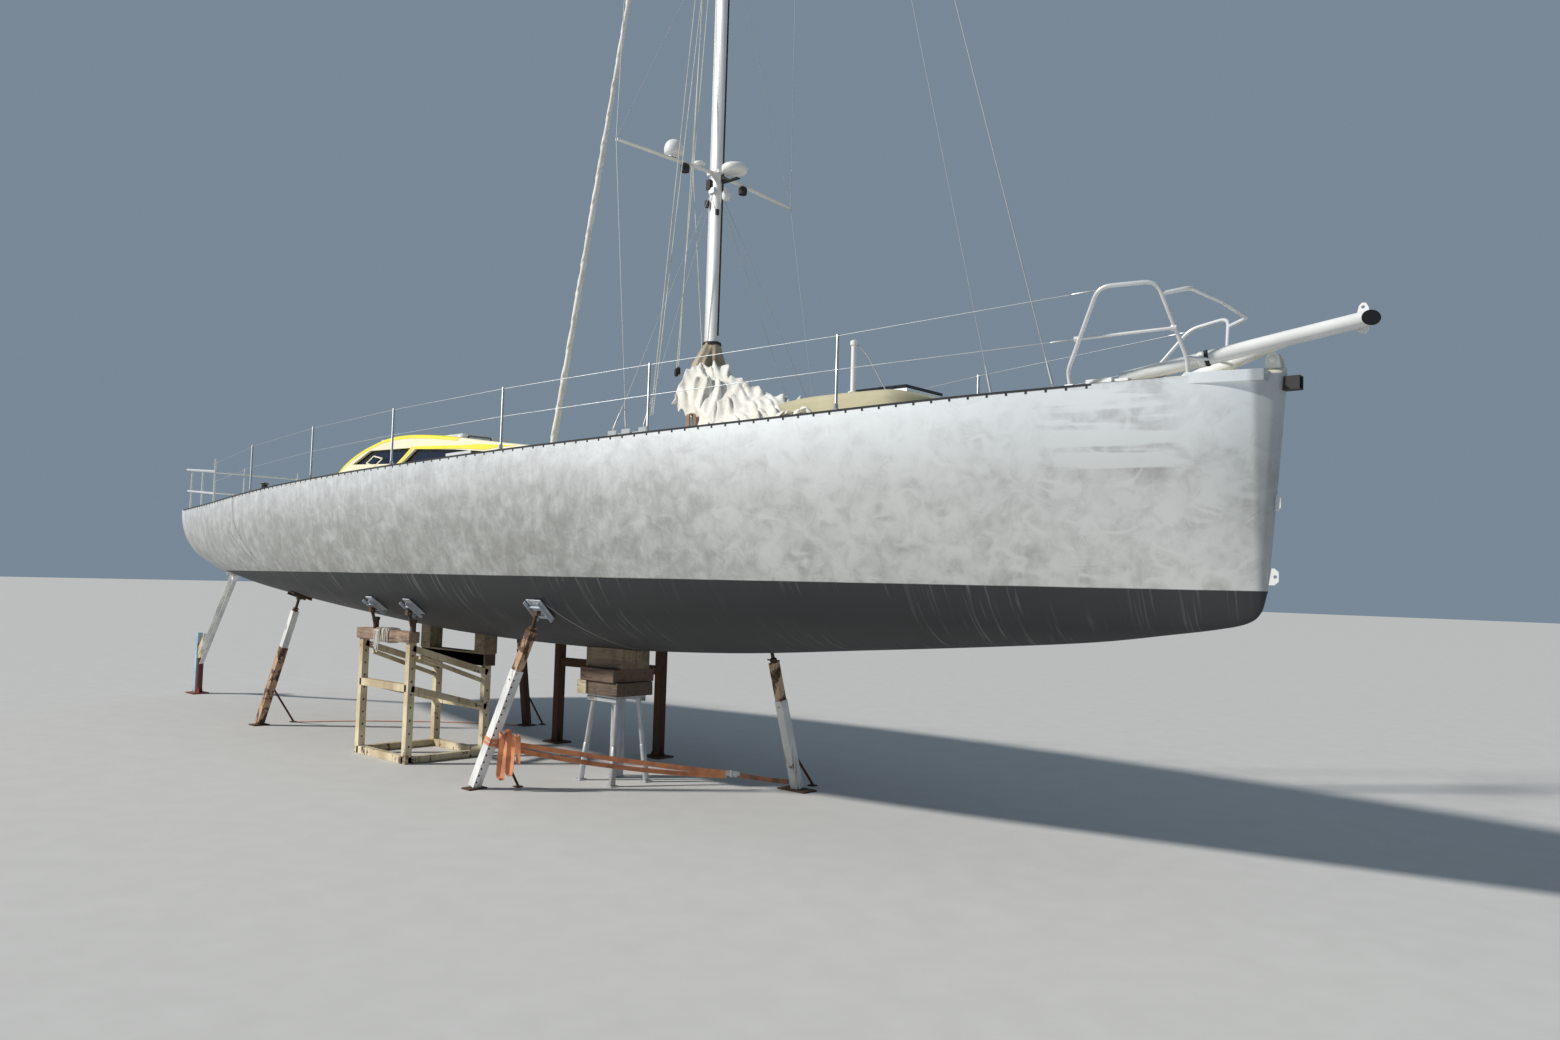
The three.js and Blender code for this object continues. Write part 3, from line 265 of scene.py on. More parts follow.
def slab(aft0, aft1, y0, y1, z0, z1):
    """An upright box between two distances aft, two sides and two heights."""
    return block((STEM - (aft0 + aft1) / 2, (y0 + y1) / 2, (z0 + z1) / 2),
                 (abs(aft1 - aft0), abs(y1 - y0), abs(z1 - z0)))


def beam(start, end, wide, deep, steady=(0, 1, 0)):
    """A square bar from start to end; wide is measured across the steady direction."""
    start, end = Vector(start), Vector(end)
    along = (end - start).normalized()
    across = Vector(steady).cross(along).normalized()
    return block((start + end) / 2, (wide, deep, (end - start).length), (across, along.cross(across), along))


def prism(outline, y0, y1):
    """An [aft, z] outline made solid from y0 to y1."""
    count = len(outline)
    points = [Vector((STEM - aft, y, z)) for y in (y0, y1) for aft, z in outline]
    sides = [(i, (i + 1) % count, count + (i + 1) % count, count + i) for i in range(count)]
    return points, [tuple(reversed(range(count))), tuple(range(count, 2 * count))] + sides


def turned(profile, centre, steps=28):
    """A [radius, height] profile turned about the upright through centre."""
    points = [Vector(centre) + Vector((r * cos(a), r * sin(a), h))
              for r, h in profile for a in (2 * pi * k / steps for k in range(steps))]
    return points, skin(len(profile), steps)


def rings(sections):
    """A closed skin over rings of points that all have the same count."""
    points = [Vector(p) for ring in sections for p in ring]
    return points, skin(len(sections), len(sections[0]))


def hollow(sections):
    """A skin whose last ring joins the first, as the inside of an open tube joins its outside."""
    total, count = len(sections), len(sections[0])
    points = [p for ring in sections for p in ring]
    faces = [(i * count + k, i * count + (k + 1) % count, ((i + 1) % total) * count + (k + 1) % count,
              ((i + 1) % total) * count + k) for i in range(total) for k in range(count)]
    return points, faces


def merge(shapes):
    """Many shapes as one list of points and one of faces."""
    points, faces = [], []
    for shape_points, shape_faces in shapes:
        faces += [tuple(i + len(points) for i in face) for face in shape_faces]
        points += list(shape_points)
    return points, faces


def joined(name, shapes):
    """One object from many shapes, with its faces turned outwards."""
    points, faces = merge(shapes)
    mesh = bpy.data.meshes.new(name)
    mesh.from_pydata([tuple(p) for p in points], [], faces)
    work = bmesh.new()
    work.from_mesh(mesh)
    bmesh.ops.recalc_face_normals(work, faces=work.faces)
    work.to_mesh(mesh)
    work.free()
    made = bpy.data.objects.new(name, mesh)
    bpy.context.scene.collection.objects.link(made)
    return made


def bevelled(made, width):
    """Rounds the sharp edges of an object a little."""
    soften = made.modifiers.new("bevel", "BEVEL")
    soften.width = width
    soften.segments = 2
    soften.limit_method = "ANGLE"
    return soften


def finished(made):
    """A mesh of the shape that an object has with all its modifiers."""
    return bpy.data.meshes.new_from_object(made.evaluated_get(bpy.context.evaluated_depsgraph_get()))


def piece(name, shapes, paint, replaces=(), body="yacht", bevel=0.0, crease=35):
    """Shapes painted, slotted, standing for their CAD nodes, and riding on a body."""
    made = joined(name, shapes)
    mesh = made.data
    mesh.materials.append(paint.look)
    mesh.shade_smooth()
    mesh.set_sharp_from_angle(angle=radians(crease))
    if bevel:
        soften = bevelled(made, bevel)
        soften.angle_limit = radians(crease)
        soften.harden_normals = True
    if replaces:
        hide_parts(*([replaces] if isinstance(replaces, str) else replaces))
    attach(made, body)
    print(name, len(mesh.polygons), "faces")
    return made


def dress(paint, *nodes, bevel=0.0):
    """CAD nodes whose shape is right keep it and get a better finish."""
    for name in nodes:
        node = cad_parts[name]
        node.data.materials.clear()
        node.data.materials.append(paint.look)
        if bevel:
            bevelled(node, bevel)


def cut(made, shapes, paint):
    """Takes closed shapes out of a piece, one by one; the cut faces get their own paint."""
    for shape in shapes:
        tool = piece(made.name + "_cutter", [shape], paint)
        knife = made.modifiers.new("cut", "BOOLEAN")
        knife.object = tool
        knife.solver = "EXACT"
        knife.material_mode = "TRANSFER"
        bpy.context.view_layer.update()
        result = finished(made)
        made.modifiers.remove(knife)
        made.data = result
        bpy.data.objects.remove(tool)
    made.data.shade_smooth()
    made.data.set_sharp_from_angle(angle=radians(35))
    print(made.name, "after its cuts:", len(made.data.polygons), "faces")


print("shapes are ready")

# %% [markdown]
# The stage is a wide pale floor under a pale sky. One broad sun from high on the starboard
# quarter lights the side that the camera sees and leaves the front of the stem dark, as on a
# bright day, and the pale surroundings fill the shadows. The metal of the stem's front is also
# painted darker, as painted shade. The view transform is Standard, which keeps bright metal and
# yellow paint as bright and as strong as they are.

# %% Floor and light
SKY_COLOR, SKY_STRENGTH = (0.62, 0.80, 1.0, 1), 0.31
SUN_COLOR, SUN_STRENGTH, SUN_WIDTH = (1.0, 0.965, 0.91), 3.9, radians(4)
TOWARDS_SUN = Vector((-0.50, -0.66, 0.56)).normalized()
FLOOR_TOP = -0.002
floor_paint = Paint("pale_floor", Roughness=0.85)
grain = floor_paint.noise(floor_paint.place(), 3.0, 6)
floor_paint.feed(Base_Color=floor_paint.mix(grain, tone(0.52, 0.51, 0.49), tone(0.60, 0.59, 0.57)))
floor = joined("floor", [block((0, 0, FLOOR_TOP - 0.05), (300, 300, 0.1))])
floor.data.materials.append(floor_paint.look)

world = bpy.data.worlds.new("studio")
bpy.context.scene.world = world
world.use_nodes = True
sky = world.node_tree.nodes["Background"]
sky.inputs["Color"].default_value = SKY_COLOR
sky.inputs["Strength"].default_value = SKY_STRENGTH
sun_light = bpy.data.lights.new("sun", "SUN")
sun_light.energy = SUN_STRENGTH
sun_light.angle = SUN_WIDTH
sun_light.color = SUN_COLOR
sun = bpy.data.objects.new("sun", sun_light)
sun.rotation_mode = "QUATERNION"
sun.rotation_quaternion = TOWARDS_SUN.to_track_quat("Z", "Y")
bpy.context.scene.collection.objects.link(sun)
bpy.context.scene.view_settings.view_transform = "Standard"
print("one sun and a pale sky")

# %% [markdown]
# The hull is one smooth skin over a table of stations. Each section is one cubic curve from the
# keel to the deck edge, and values between stations follow smooth slopes, the same rule as the
# solid's, so that the skin sits on the solid. The nose is drawn in on a power curve, because the
# real stem is rolled plate and not a sharp edge.

# %% Hull form
# each row: distance aft of the stem, half beam, deck edge over and keel under the waterline, in
# millimetres, and how full the section's lower part is
TABLE = np.array([
    [0, 60, 1605, -20, .45], [40, 112, 1607, 120, .45], [120, 172, 1608, 200, .45],
    [320, 285, 1607, 256, .45], [700, 432, 1590, 320, .45], [1300, 640, 1560, 410, .47],
    [2200, 920, 1512, 500, .50], [3500, 1240, 1435, 612, .56], [5300, 1570, 1350, 755, .62],
    [7200, 1830, 1265, 820, .66], [9500, 2000, 1160, 780, .70], [11500, 1975, 1075, 640, .74],
    [13300, 1830, 990, 490, .77], [14600, 1670, 925, 370, .76], [15500, 1540, 895, 265, .72],
    [16150, 1430, 880, 205, .66], [16500, 1360, 875, 150, .62]])
TABLE[:, :4] /= 1000
EDGE_DROP = 0.022
TABLE[:, 2] -= EDGE_DROP
LENGTH = 16.5


def flowing(table):
    """A function of the first column that gives the other columns, with smooth slopes between rows."""
    slopes = np.vstack([(table[1] - table[0]) / (table[1, 0] - table[0, 0]),
                        (table[2:] - table[:-2]) / (table[2:, :1] - table[:-2, :1]),
                        (table[-1] - table[-2]) / (table[-1, 0] - table[-2, 0])])

    def value(where):
        i = int(np.clip(np.searchsorted(table[:, 0], where, side="right") - 1, 0, len(table) - 2))
        run = table[i + 1, 0] - table[i, 0]
        t = (where - table[i, 0]) / run
        row = (table[i] * (2 * t ** 3 - 3 * t ** 2 + 1) + slopes[i] * run * (t ** 3 - 2 * t ** 2 + t)
               + table[i + 1] * (3 * t ** 2 - 2 * t ** 3) + slopes[i + 1] * run * (t ** 3 - t ** 2))
        return row[1:]
    return value


station = flowing(TABLE)


def section(aft, steps=40):
    """Points of one side's section, from keel to deck edge, as y and height over the waterline."""
    half, edge, depth, full = station(aft)
    if aft < TABLE[1, 0]:
        half = max(0.004, TABLE[1, 1] * (aft / TABLE[1, 0]) ** 0.4)
    t = np.linspace(0, 1, steps + 1)
    a, b, c, d = (1 - t) ** 3, 3 * t * (1 - t) ** 2, 3 * t * t * (1 - t), t ** 3
    y = (b * full + c + d) * half
    z = -depth * (a + b) + (edge - (edge + depth) * 0.68) * c + edge * d
    return y, z


def raked(aft, height):
    """How far the stem leans forward at a height over the waterline."""
    return 0.12 * max(0, 1 - aft / 1.2) * max(0, height / 1.6)


def crown(share):
    """How far a deck has risen, from 0 at its edge to 1 in the middle, where share is 0."""
    return 1 - (hypot(share, 0.2) - 0.2) / (hypot(1, 0.2) - 0.2)


def deck_top(aft, y=0.0):
    """The deck meets the hull's edge with a step of 4 mm only, so the sheer reads as one fine line."""
    half, edge = station(aft)[:2]
    return WATERLINE + edge + 0.004 + (0.026 + EDGE_DROP + 0.07 * half) * crown(min(1.0, abs(y) / half))


def rail_y(aft, inset=0.062):
    """The line of the posts, a hand's breadth in from the hull's side."""
    return station(aft)[0] - inset


def under(aft, y):
    """Height of the hull's underside over the ground, and its outward direction there."""
    across, heights = section(aft, 160)
    k = int(np.clip(np.searchsorted(across, abs(y)), 1, len(across) - 1))
    slope = (heights[k] - heights[k - 1]) / (across[k] - across[k - 1])
    z = WATERLINE + heights[k - 1] + slope * (abs(y) - across[k - 1])
    return z, Vector((0, copysign(slope, y), -1)).normalized()


# stations of the skin, closest together where the nose curves most
STOPS = np.concatenate([0.04 * np.linspace(0, 1, 10)[:-1] ** 2.5,
                        0.04 + 1.26 * np.linspace(0, 1, 26)[:-1] ** 1.6,
                        np.linspace(1.3, LENGTH, 104)])


def hull_ring(aft):
    """One whole section, from the starboard edge under the keel to the port edge."""
    y, z = section(aft)
    ring = [(-a, b) for a, b in zip(y[::-1], z[::-1])] + [(a, b) for a, b in zip(y[1:], z[1:])]
    return [(STEM - aft + raked(aft, h), a, WATERLINE + h) for a, h in ring]


print("half beam amidships", round(station(9.5)[0], 3))

# %% [markdown]
# The topsides are bare aluminium that was ground with a disc: overlapping fans of fine arcs a
# hand's breadth wide, each catching the light in its own direction. That catching of the light is
# painted reflection: the brightness of the grinding marks (arcs, curls and level strokes alike)
# and the lighter or darker tone of each fan are put into the colour. Cells of a Voronoi pattern
# give every fan a turn of its own, and stretched noise inside it gives the arcs. Two layers
# overlap, as passes of the grinder do, over a mottle. Towards the bow the metal is brighter, with
# curls and a patch of level strokes; towards the stern it has upright streaks. The upper topsides
# are painted lighter and bluer and the lower ones darker and warmer, as painted reflection of sky
# and ground. Dark seams cross the after topsides, and the bottom is dark primer with pale upright
# streaks and one weld.

# %% Ground aluminium and bottom paint
# painted reflection: the arcs and each fan's random shade go into the colour as brightness
def fans(paint, where, scale, shift):
    """Arcs of one grinding pass: a value from 0 to 1, and the random shade of each fan; both are used as painted
    reflection.
    """
    moved = paint.node("ShaderNodeVectorMath", {"operation": "ADD"}, {0: where, 1: (shift, shift, shift)})
    loose = paint.noise(moved, 2.3, 2)
    bent = paint.node("ShaderNodeVectorMath", {"operation": "ADD"},
                      {0: moved, 1: paint.point(loose * 0.25, 0.0, loose * 0.3)})
    cell = paint.node("ShaderNodeTexVoronoi", {"feature": "SMOOTH_F1"},
                      {"Vector": bent, "Scale": scale, "Smoothness": 0.8}, out="Color")
    spin, shade, _ = paint.axes(cell)
    x, y, z = paint.axes(moved)
    turn = spin * 6.28
    cosine = turn.math("COSINE", turn)
    sine = turn.math("SINE", turn)
    along = x * cosine + z * sine
    across = z * cosine - x * sine
    spot = paint.point(along * 3 + shade * 40, across * 42 + along * along * 9, shade * 20)
    return paint.noise(spot, 1.0, 3, 0.6), shade


METAL_SHARE = 0.42
PAINT_LINE, PAINT_SLOPE = 2.28, 0.0079


def ground_metal(name, with_bottom=False):
    """Bare metal after the grinder; the hull's own also has its seams and its dark bottom."""
    paint = Paint(name, Metallic=METAL_SHARE, Roughness=0.4)
    where = paint.place()
    x, y, z = paint.axes(where)
    first, first_shade = fans(paint, where, 3.4, 3.1)
    second, second_shade = fans(paint, where, 5.2, 11.7)
    cloud = paint.noise(where, 1.1, 5, 0.6)
    near_bow = x.rise(1.5, 6.5)
    # painted reflection: high makes the upper metal lighter and bluer and the lower metal darker and warmer,
    # standing for sky and ground seen in it
    high = (z - x * 0.03).rise(2.7, 3.6)
    arcs = (first + second) * 0.5
    shade = (first_shade + second_shade) * 0.5
    streaks = paint.noise(paint.scaled(where, 9.0, 9.0, 1.1), 2.2, 4, 0.6, 0.6)
    bands = paint.noise(paint.scaled(where, 0.7, 0.7, 13.0), 1.0, 2, 0.4)
    mottle = paint.noise(where, 6.0, 5, 0.66, 0.5)
    contours = paint.noise(paint.scaled(where, 0.8, 0.8, 1.3), 3.4, 1, 0.4, 0.5)
    curls = abs(contours.math("FRACT", contours * 4) - 0.5).rise(0.20, 0.46)
    curl_zone = paint.noise(where, 4.3, 2).rise(0.42, 0.62) * near_bow
    band_zone = x.rise(7.1, 7.5) * x.rise(8.25, 8.0) * z.rise(3.0, 3.2)
    # painted highlights: the brightest parts of the arcs become white wisps in the colour
    wisps = first.rise(0.52, 0.70) * 0.5 + second.rise(0.54, 0.70) * 0.5
    everywhere = arcs * 0.35 + shade * 0.20 + cloud * 0.38 + (mottle - 0.5) * 1.15 + high * 0.12 + 0.14
    bow = (arcs * 0.20 + wisps * 0.30 + shade * 0.15 + 0.42) * near_bow
    strokes = (curls - 0.35) * curl_zone * 0.24 + (bands.rise(0.42, 0.58) - 0.5) * band_zone * 0.66
    light = (everywhere + bow + strokes + streaks * 0.45 * (1 - near_bow)).rise(0.50, 1.45)
    dull = paint.mix(high, tone(0.35, 0.352, 0.335), tone(0.53, 0.545, 0.555))
    bright = paint.mix(high, tone(0.70, 0.715, 0.70), tone(0.95, 0.98, 0.99))
    # painted shade: the stem's front face, the foremost few centimetres, is mixed towards dark grey
    stem_front_shade = x.rise(8.60, 8.66) * 0.55
    metal = paint.mix(stem_front_shade, paint.mix(light, dull, bright), tone(0.20, 0.22, 0.24))
    rough = 0.52 - light * 0.14
    relief = arcs * 0.6 + shade * 0.2
    if with_bottom:
        aft = STEM - x
        line = z - (PAINT_LINE - PAINT_SLOPE * aft) + (cloud - 0.5) * 0.008
        top = line.rise(-0.004, 0.004)
        trails = paint.noise(paint.scaled(where, 16.0, 1.0, 0.35), 2.0, 3, 0.55, 0.2).rise(0.54, 0.72)
        trails = trails * paint.noise(where, 0.7, 3).rise(0.38, 0.58)
        primer = paint.mix(cloud, tone(0.018, 0.021, 0.024), tone(0.036, 0.039, 0.041))
        primer = paint.mix(trails * 0.75, primer, tone(0.15, 0.155, 0.15))
        ridge = abs(aft - (6.40 + 0.55 * (abs(y) - 0.5) ** 2))
        weld = ridge.rise(0.011, 0.005) * z.rise(1.98, 1.9) * x.rise(1.7, 1.95)
        primer = paint.mix(weld, primer, tone(0.26, 0.265, 0.26))
        drop = 2.85 - z
        drop = drop.math("MAXIMUM", drop, 0.0)
        seam = abs(aft - 13.43 + 0.99 * drop).rise(0.012, 0.006)
        for other in (abs(aft - 13.73 + 1.5 * (2.76 - z)).rise(0.011, 0.006) * z.rise(2.78, 2.76),
                      abs(aft - 15.77 + 0.68 * drop).rise(0.010, 0.004)):
            seam = seam.math("MAXIMUM", seam, other)
        seam = seam * z.rise(2.3, 2.34)
        metal = paint.mix(seam * 0.9, metal, tone(0.060, 0.060, 0.062))
        metal = paint.mix(top, primer, metal)
        rough = (0.62 - trails * 0.12) * (1 - top) + rough * top
        paint.feed(Metallic=METAL_SHARE * top)
        relief = relief * top + trails * 0.2
    paint.feed(Base_Color=metal, Roughness=rough)
    return paint.bump(relief, 0.0016, 0.55)


hull_metal = ground_metal("ground_aluminium_hull", with_bottom=True)
bare_metal = ground_metal("ground_aluminium")
print("two metals")

# %% [markdown]
# Cream paint covers deck, doghouse and cockpit: a satin coat with a little unevenness, faint
# dirt, and on the deck a fine raised grain that keeps feet from slipping.

# %% Cream and yellow paint
def satin(name, pale, dark, grain_size=0.0, rough=0.42):
    """A satin coat; a grain size gives it the raised grain of a deck."""
    paint = Paint(name, Roughness=rough)
    where = paint.place()
    dirt = paint.noise(where, 1.7, 6, 0.62)
    flecks = paint.noise(where, 60, 3)
    share = dirt.rise(0.35, 0.7) * 0.8 + flecks * 0.2
    paint.feed(Base_Color=paint.mix(share, pale, dark), Roughness=rough + dirt * 0.18)
    if grain_size:
        return paint.bump(paint.noise(where, grain_size, 2), 0.0012, 0.6)
    return paint.bump(paint.noise(where, 25, 3), 0.0006, 0.35)


cream = satin("cream_paint", tone(0.82, 0.77, 0.56), tone(0.73, 0.68, 0.48))
deck_cream = satin("cream_deck_grain", tone(0.70, 0.67, 0.56), tone(0.58, 0.56, 0.47), grain_size=260, rough=0.7)
# painted shade: the coachroof gets a darker cream than the deck, standing for the shade it lies in
shaded_roof_cream = satin("cream_roof_painted_shade", tone(0.50, 0.46, 0.31), tone(0.42, 0.39, 0.26), grain_size=260, rough=0.75)
dark_fitting = satin("dark_fitting", tone(0.020, 0.020, 0.022), tone(0.038, 0.038, 0.040), rough=0.72)
yellow = satin("yellow_trim", tone(0.86, 0.76, 0.015), tone(0.74, 0.62, 0.015), rough=0.4)
painted = satin("painted_alloy", tone(0.76, 0.77, 0.76), tone(0.62, 0.63, 0.62), rough=0.35)
white_gloss = satin("white_gloss", tone(0.86, 0.86, 0.85), tone(0.74, 0.74, 0.72), rough=0.28)
print("seven paints")

# %% [markdown]
# The hull and deck replace their solids with finer skins. The cockpit and the saloon are real
# wells, taken out with the same boxes as in the solid, so nothing is closed that should be open.

# %% Hull and deck
WELLS = [slab(12.75, 15.35, -0.9, 0.9, 2.874, 4.6), slab(12.81, 14.93, -0.38, 0.38, 2.444, 4.6),
         slab(8.9, 12.15, -0.64, 0.64, 2.35, 4.6)]
hull = piece("hull_skin", [rings([hull_ring(aft) for aft in STOPS])], hull_metal, "hull")
cut(hull, WELLS, cream)


def deck_ring(aft):
    """A section of the deck's skin: its two edges, then the rounded top from port to starboard."""
    half, edge = section(aft)[0][-1], station(aft)[1]
    ring = [(-half, WATERLINE + edge + 0.0004), (half, WATERLINE + edge + 0.0004)]
    ring += [(share * half, WATERLINE + edge + 0.004 + (0.026 + EDGE_DROP + 0.07 * half) * crown(share))
             for share in np.linspace(1, -1, 25)]
    return [(STEM - aft + raked(aft, z - WATERLINE), y, z) for y, z in ring]


deck = piece("deck_skin", [rings([deck_ring(aft) for aft in STOPS])], deck_cream, "deck")
deck.data.materials.append(hull_metal.look)
for face in deck.data.polygons:
    face.material_index = int(abs(face.normal.z) < 0.3)
cut(deck, WELLS, cream)

# %% [markdown]
# The doghouse is a low shell with leaning sides and a roof that rises in one long curve. Its
# ring at each place is a base, a leaning wall, a small rolled edge and a flat roof. The room is
# the same ring drawn 40 mm in, so the wall has a real thickness where windows and door cut it.

# %% Doghouse shell
ROOF = flowing(np.array([
    [7.05, 3.620], [7.9, 3.715], [8.7, 3.812], [9.4, 3.902], [10.0, 3.965], [10.6, 4.003], [11.1, 3.984],
    [11.58, 3.889], [11.84, 3.806], [12.07, 3.700], [12.22, 3.585], [12.30, 3.470], [12.36, 3.40]]))
HOUSE_EDGE = 0.045


def wall_y(z, inset=0.0):
    """How far out the leaning wall stands at a height."""
    return 0.96 - 0.16 * (z - 3.25) / 0.85 - inset


def house_corner(aft, inset=0.0, steps=5):
    """The starboard wall and rolled edge of the ring, from the foot up, as positive y and z."""
    top = float(ROOF(aft)[0]) - inset
    edge = min(HOUSE_EDGE, (top - 3.36) * 0.4)
    wall = wall_y(top - edge, inset)
    arc = [(wall - edge + edge * cos(t), top - edge + edge * sin(t))
           for t in (pi / 2 * k / steps for k in range(steps + 1))]
    return [(wall_y(3.36 - inset, inset), 3.36 - inset)] + arc


def house_ring(aft, inset=0.0):
    """The whole ring, or the room inside it when there is an inset."""
    corner = house_corner(aft, inset)
    return [at(aft, -y, z) for y, z in corner] + [at(aft, y, z) for y, z in reversed(corner)]


house_stops = np.concatenate([np.linspace(7.05, 11.0, 60), np.linspace(11.05, 12.36, 46)])
house = piece("doghouse_shell_fine", [rings([house_ring(a) for a in house_stops])], cream,
              "doghouse_shell")
room_stops = [a for a in house_stops if 8.3 < a < 12.3]
LONG_WINDOW = [(10.30, 3.800), (10.57, 3.625), (9.60, 3.570), (8.66, 3.550), (8.57, 3.670), (9.40, 3.745)]
AFT_WINDOW = [(11.88, 3.67), (11.47, 3.842), (10.40, 3.822), (10.68, 3.625)]


def window(outline, side):
    """A block with rounded corners that cuts one window through one wall."""
    soft = rounded([(a, z, 0) for a, z in outline], 0.035, 5, closed=True)
    return prism([(p.x, p.y) for p in soft], *sorted((side * 0.4, side * 1.1)))


cut(house, [rings([house_ring(a, 0.04) for a in room_stops]), slab(11.98, 12.6, -0.3, 0.3, 3.0, 3.86),
            slab(11.25, 12.34, -0.3, 0.3, 3.7, 4.4)], cream)
cut(house, [window(outline, side) for side in (-1, 1) for outline in (LONG_WINDOW, AFT_WINDOW)], cream)

# %% [markdown]
# The window panes are the solid's own, dark and very glossy. A yellow band runs along the edge of
# the roof and over the long window, and a slanting bar of it parts the two windows. It is a
# raised strip three millimetres thick that follows the rolled edge, not a change of colour, so
# its border stays crisp and catches the light.

# %% Glass and the yellow band
glass = Paint("dark_navy_glass", Roughness=0.06, IOR=1.5, Specular_IOR_Level=0.6)
smear = glass.noise(glass.place(), 5.0, 4)
glass.feed(Base_Color=glass.mix(smear, tone(0.006, 0.010, 0.030), tone(0.014, 0.020, 0.045)),
           Roughness=0.05 + smear * 0.06)
dress(glass, "doghouse_pane_starboard", "doghouse_pane_port")


def edge_band(side, stops, depth):
    """A thin strip over the rolled edge; depth(aft) is how far it comes down the wall."""
    hoops = []
    for aft in stops:
        corner = house_corner(aft)[1:]
        low = corner[0][1] - depth(aft)
        line = [(wall_y(low), low)] + corner
        hoop = [at(aft, side * (y + 0.003), z + 0.003 * (k > 2)) for k, (y, z) in enumerate(line)]
        hoop += [at(aft, side * (y - 0.004), z - 0.002) for y, z in reversed(line)]
        hoops.append(hoop)
    return rings(hoops)


def wall_strip(side, ends, wide):
    """A flat raised bar on the leaning wall between two [aft, z] ends."""
    (a0, z0), (a1, z1) = ends
    turn = Vector((z1 - z0, -(a1 - a0))).normalized() * wide / 2
    corners = [(a0 + turn.x, z0 + turn.y), (a1 + turn.x, z1 + turn.y),
               (a1 - turn.x, z1 - turn.y), (a0 - turn.x, z0 - turn.y)]
    return rings([[at(a, side * (wall_y(z) + lift), z) for a, z in corners] for lift in (-0.004, 0.004)])


def edge_depth(aft):
    """How far the yellow edge line comes down the wall; the line fades out on the foredeck side."""
    return float(np.interp(aft, [9.3, 10.4, 12.36], [0.000, 0.004, 0.010]))


BAND = [(10.38, 3.836), (9.80, 3.812), (9.20, 3.784), (8.82, 3.776), (8.40, 3.740), (8.05, 3.712),
        (8.40, 3.716), (8.70, 3.700), (9.20, 3.742), (9.80, 3.772), (10.30, 3.800)]
SLANTING_BAR = ((10.37, 3.822), (10.64, 3.610))


def wall_plate(side, outline, lift=0.005):
    """A thin raised plate on the leaning wall, cut to an [aft, z] outline."""
    return rings([[at(a, side * (wall_y(z) + out), z) for a, z in outline] for out in (-0.004, lift)])


PORTLIGHT = [(11.49, 3.668), (11.33, 3.760), (11.08, 3.716), (11.24, 3.622)]
for side, word in SIDES:
    band = [edge_band(side, [a for a in house_stops if a > 9.3], edge_depth),
            wall_plate(side, BAND), wall_strip(side, SLANTING_BAR, 0.042)]
    piece("yellow_band_" + word, band, yellow, bevel=0.001)
    bars = [wall_strip(side, ends, 0.016) for ends in zip(PORTLIGHT, PORTLIGHT[1:] + PORTLIGHT[:1])]
    piece("portlight_frame_" + word, bars, cream)


def roof_top(aft):
    return float(ROOF(aft)[0])


whip_foot = at(11.75, -0.27, roof_top(11.75) - 0.004)
piece("roof_whip", [tube([whip_foot, whip_foot + Vector((0.002, 0, 0.29))], 0.013, 12),
                    tube([whip_foot, whip_foot + Vector((0, 0, 0.03))], 0.024, 14)],
      dark_fitting)
piece("roof_vent_cowl", [turned([[0.075, 0], [0.075, 0.012], [0.060, 0.040], [0.030, 0.052], [0.0005, 0.055]],
                                at(9.74, -0.52, roof_top(9.74) - 0.006), 24)], white_gloss)
grab = rounded([at(9.55, -0.56, roof_top(9.55) - 0.01), at(9.55, -0.56, roof_top(9.55) + 0.035),
                at(9.05, -0.56, roof_top(9.05) + 0.035), at(9.05, -0.56, roof_top(9.05) - 0.01)], 0.03)
piece("roof_grab_rails", [tube(grab, 0.011, 12), tube([Vector((p.x, -p.y, p.z)) for p in grab], 0.011, 12)],
      dark_fitting)

# %% [markdown]
# A low toe rail runs along each deck edge: a strip of the same bare metal under a dark cap that
# wraps the hull's edge, and every 145 mm just under the cap a small dark block that stands for the
# shade in a drain gap, as painted shade. From the ground these read as one fine line with ticks
# along the sheer. A raised guard stands on it beside the doghouse window.

# %% Toe rails
def edge_bar(side, stops, low, high, inner, outer):
    """A bar along the hull's edge; low and high are over the edge, inner and outer in from its side."""
    hoops = []
    for aft in stops:
        half, edge = station(aft)[:2]
        y0, y1, z = side * (half - inner), side * (half - outer), WATERLINE + edge
        hoops.append([at(aft, y0, z + low), at(aft, y1, z + low), at(aft, y1, z + high), at(aft, y0, z + high)])
    return rings(hoops)


RAIL_STOPS = np.linspace(0.62, 16.38, 150)
TICKS = np.arange(0.70, 16.35, 0.145)
for side, word in SIDES:
    guard = edge_bar(side, np.linspace(7.45, 7.86, 5), 0.0, 0.038, 0.012, 0.003)
    piece("toe_rail_strip_" + word, [edge_bar(side, RAIL_STOPS, -0.01, 0.0085, 0.024, 0.006), guard],
          hull_metal, "toe_rail_" + word)
    # painted shade: each tick is a small dark block that stands for the shade in a drain gap under the cap
    ticks = [edge_bar(side, (aft - 0.008, aft + 0.008), -0.030, -0.009, 0.02, -0.0025) for aft in TICKS]
    piece("toe_rail_cap_" + word, [edge_bar(side, RAIL_STOPS, -0.010, 0.007, 0.014, -0.003)] + ticks,
          dark_fitting)

# %% [markdown]
# Rails, stanchions and wires are stainless tube: the same size as the solid's, but round, with a
# foot plate and two bolts at each post and a small eye where each wire passes.

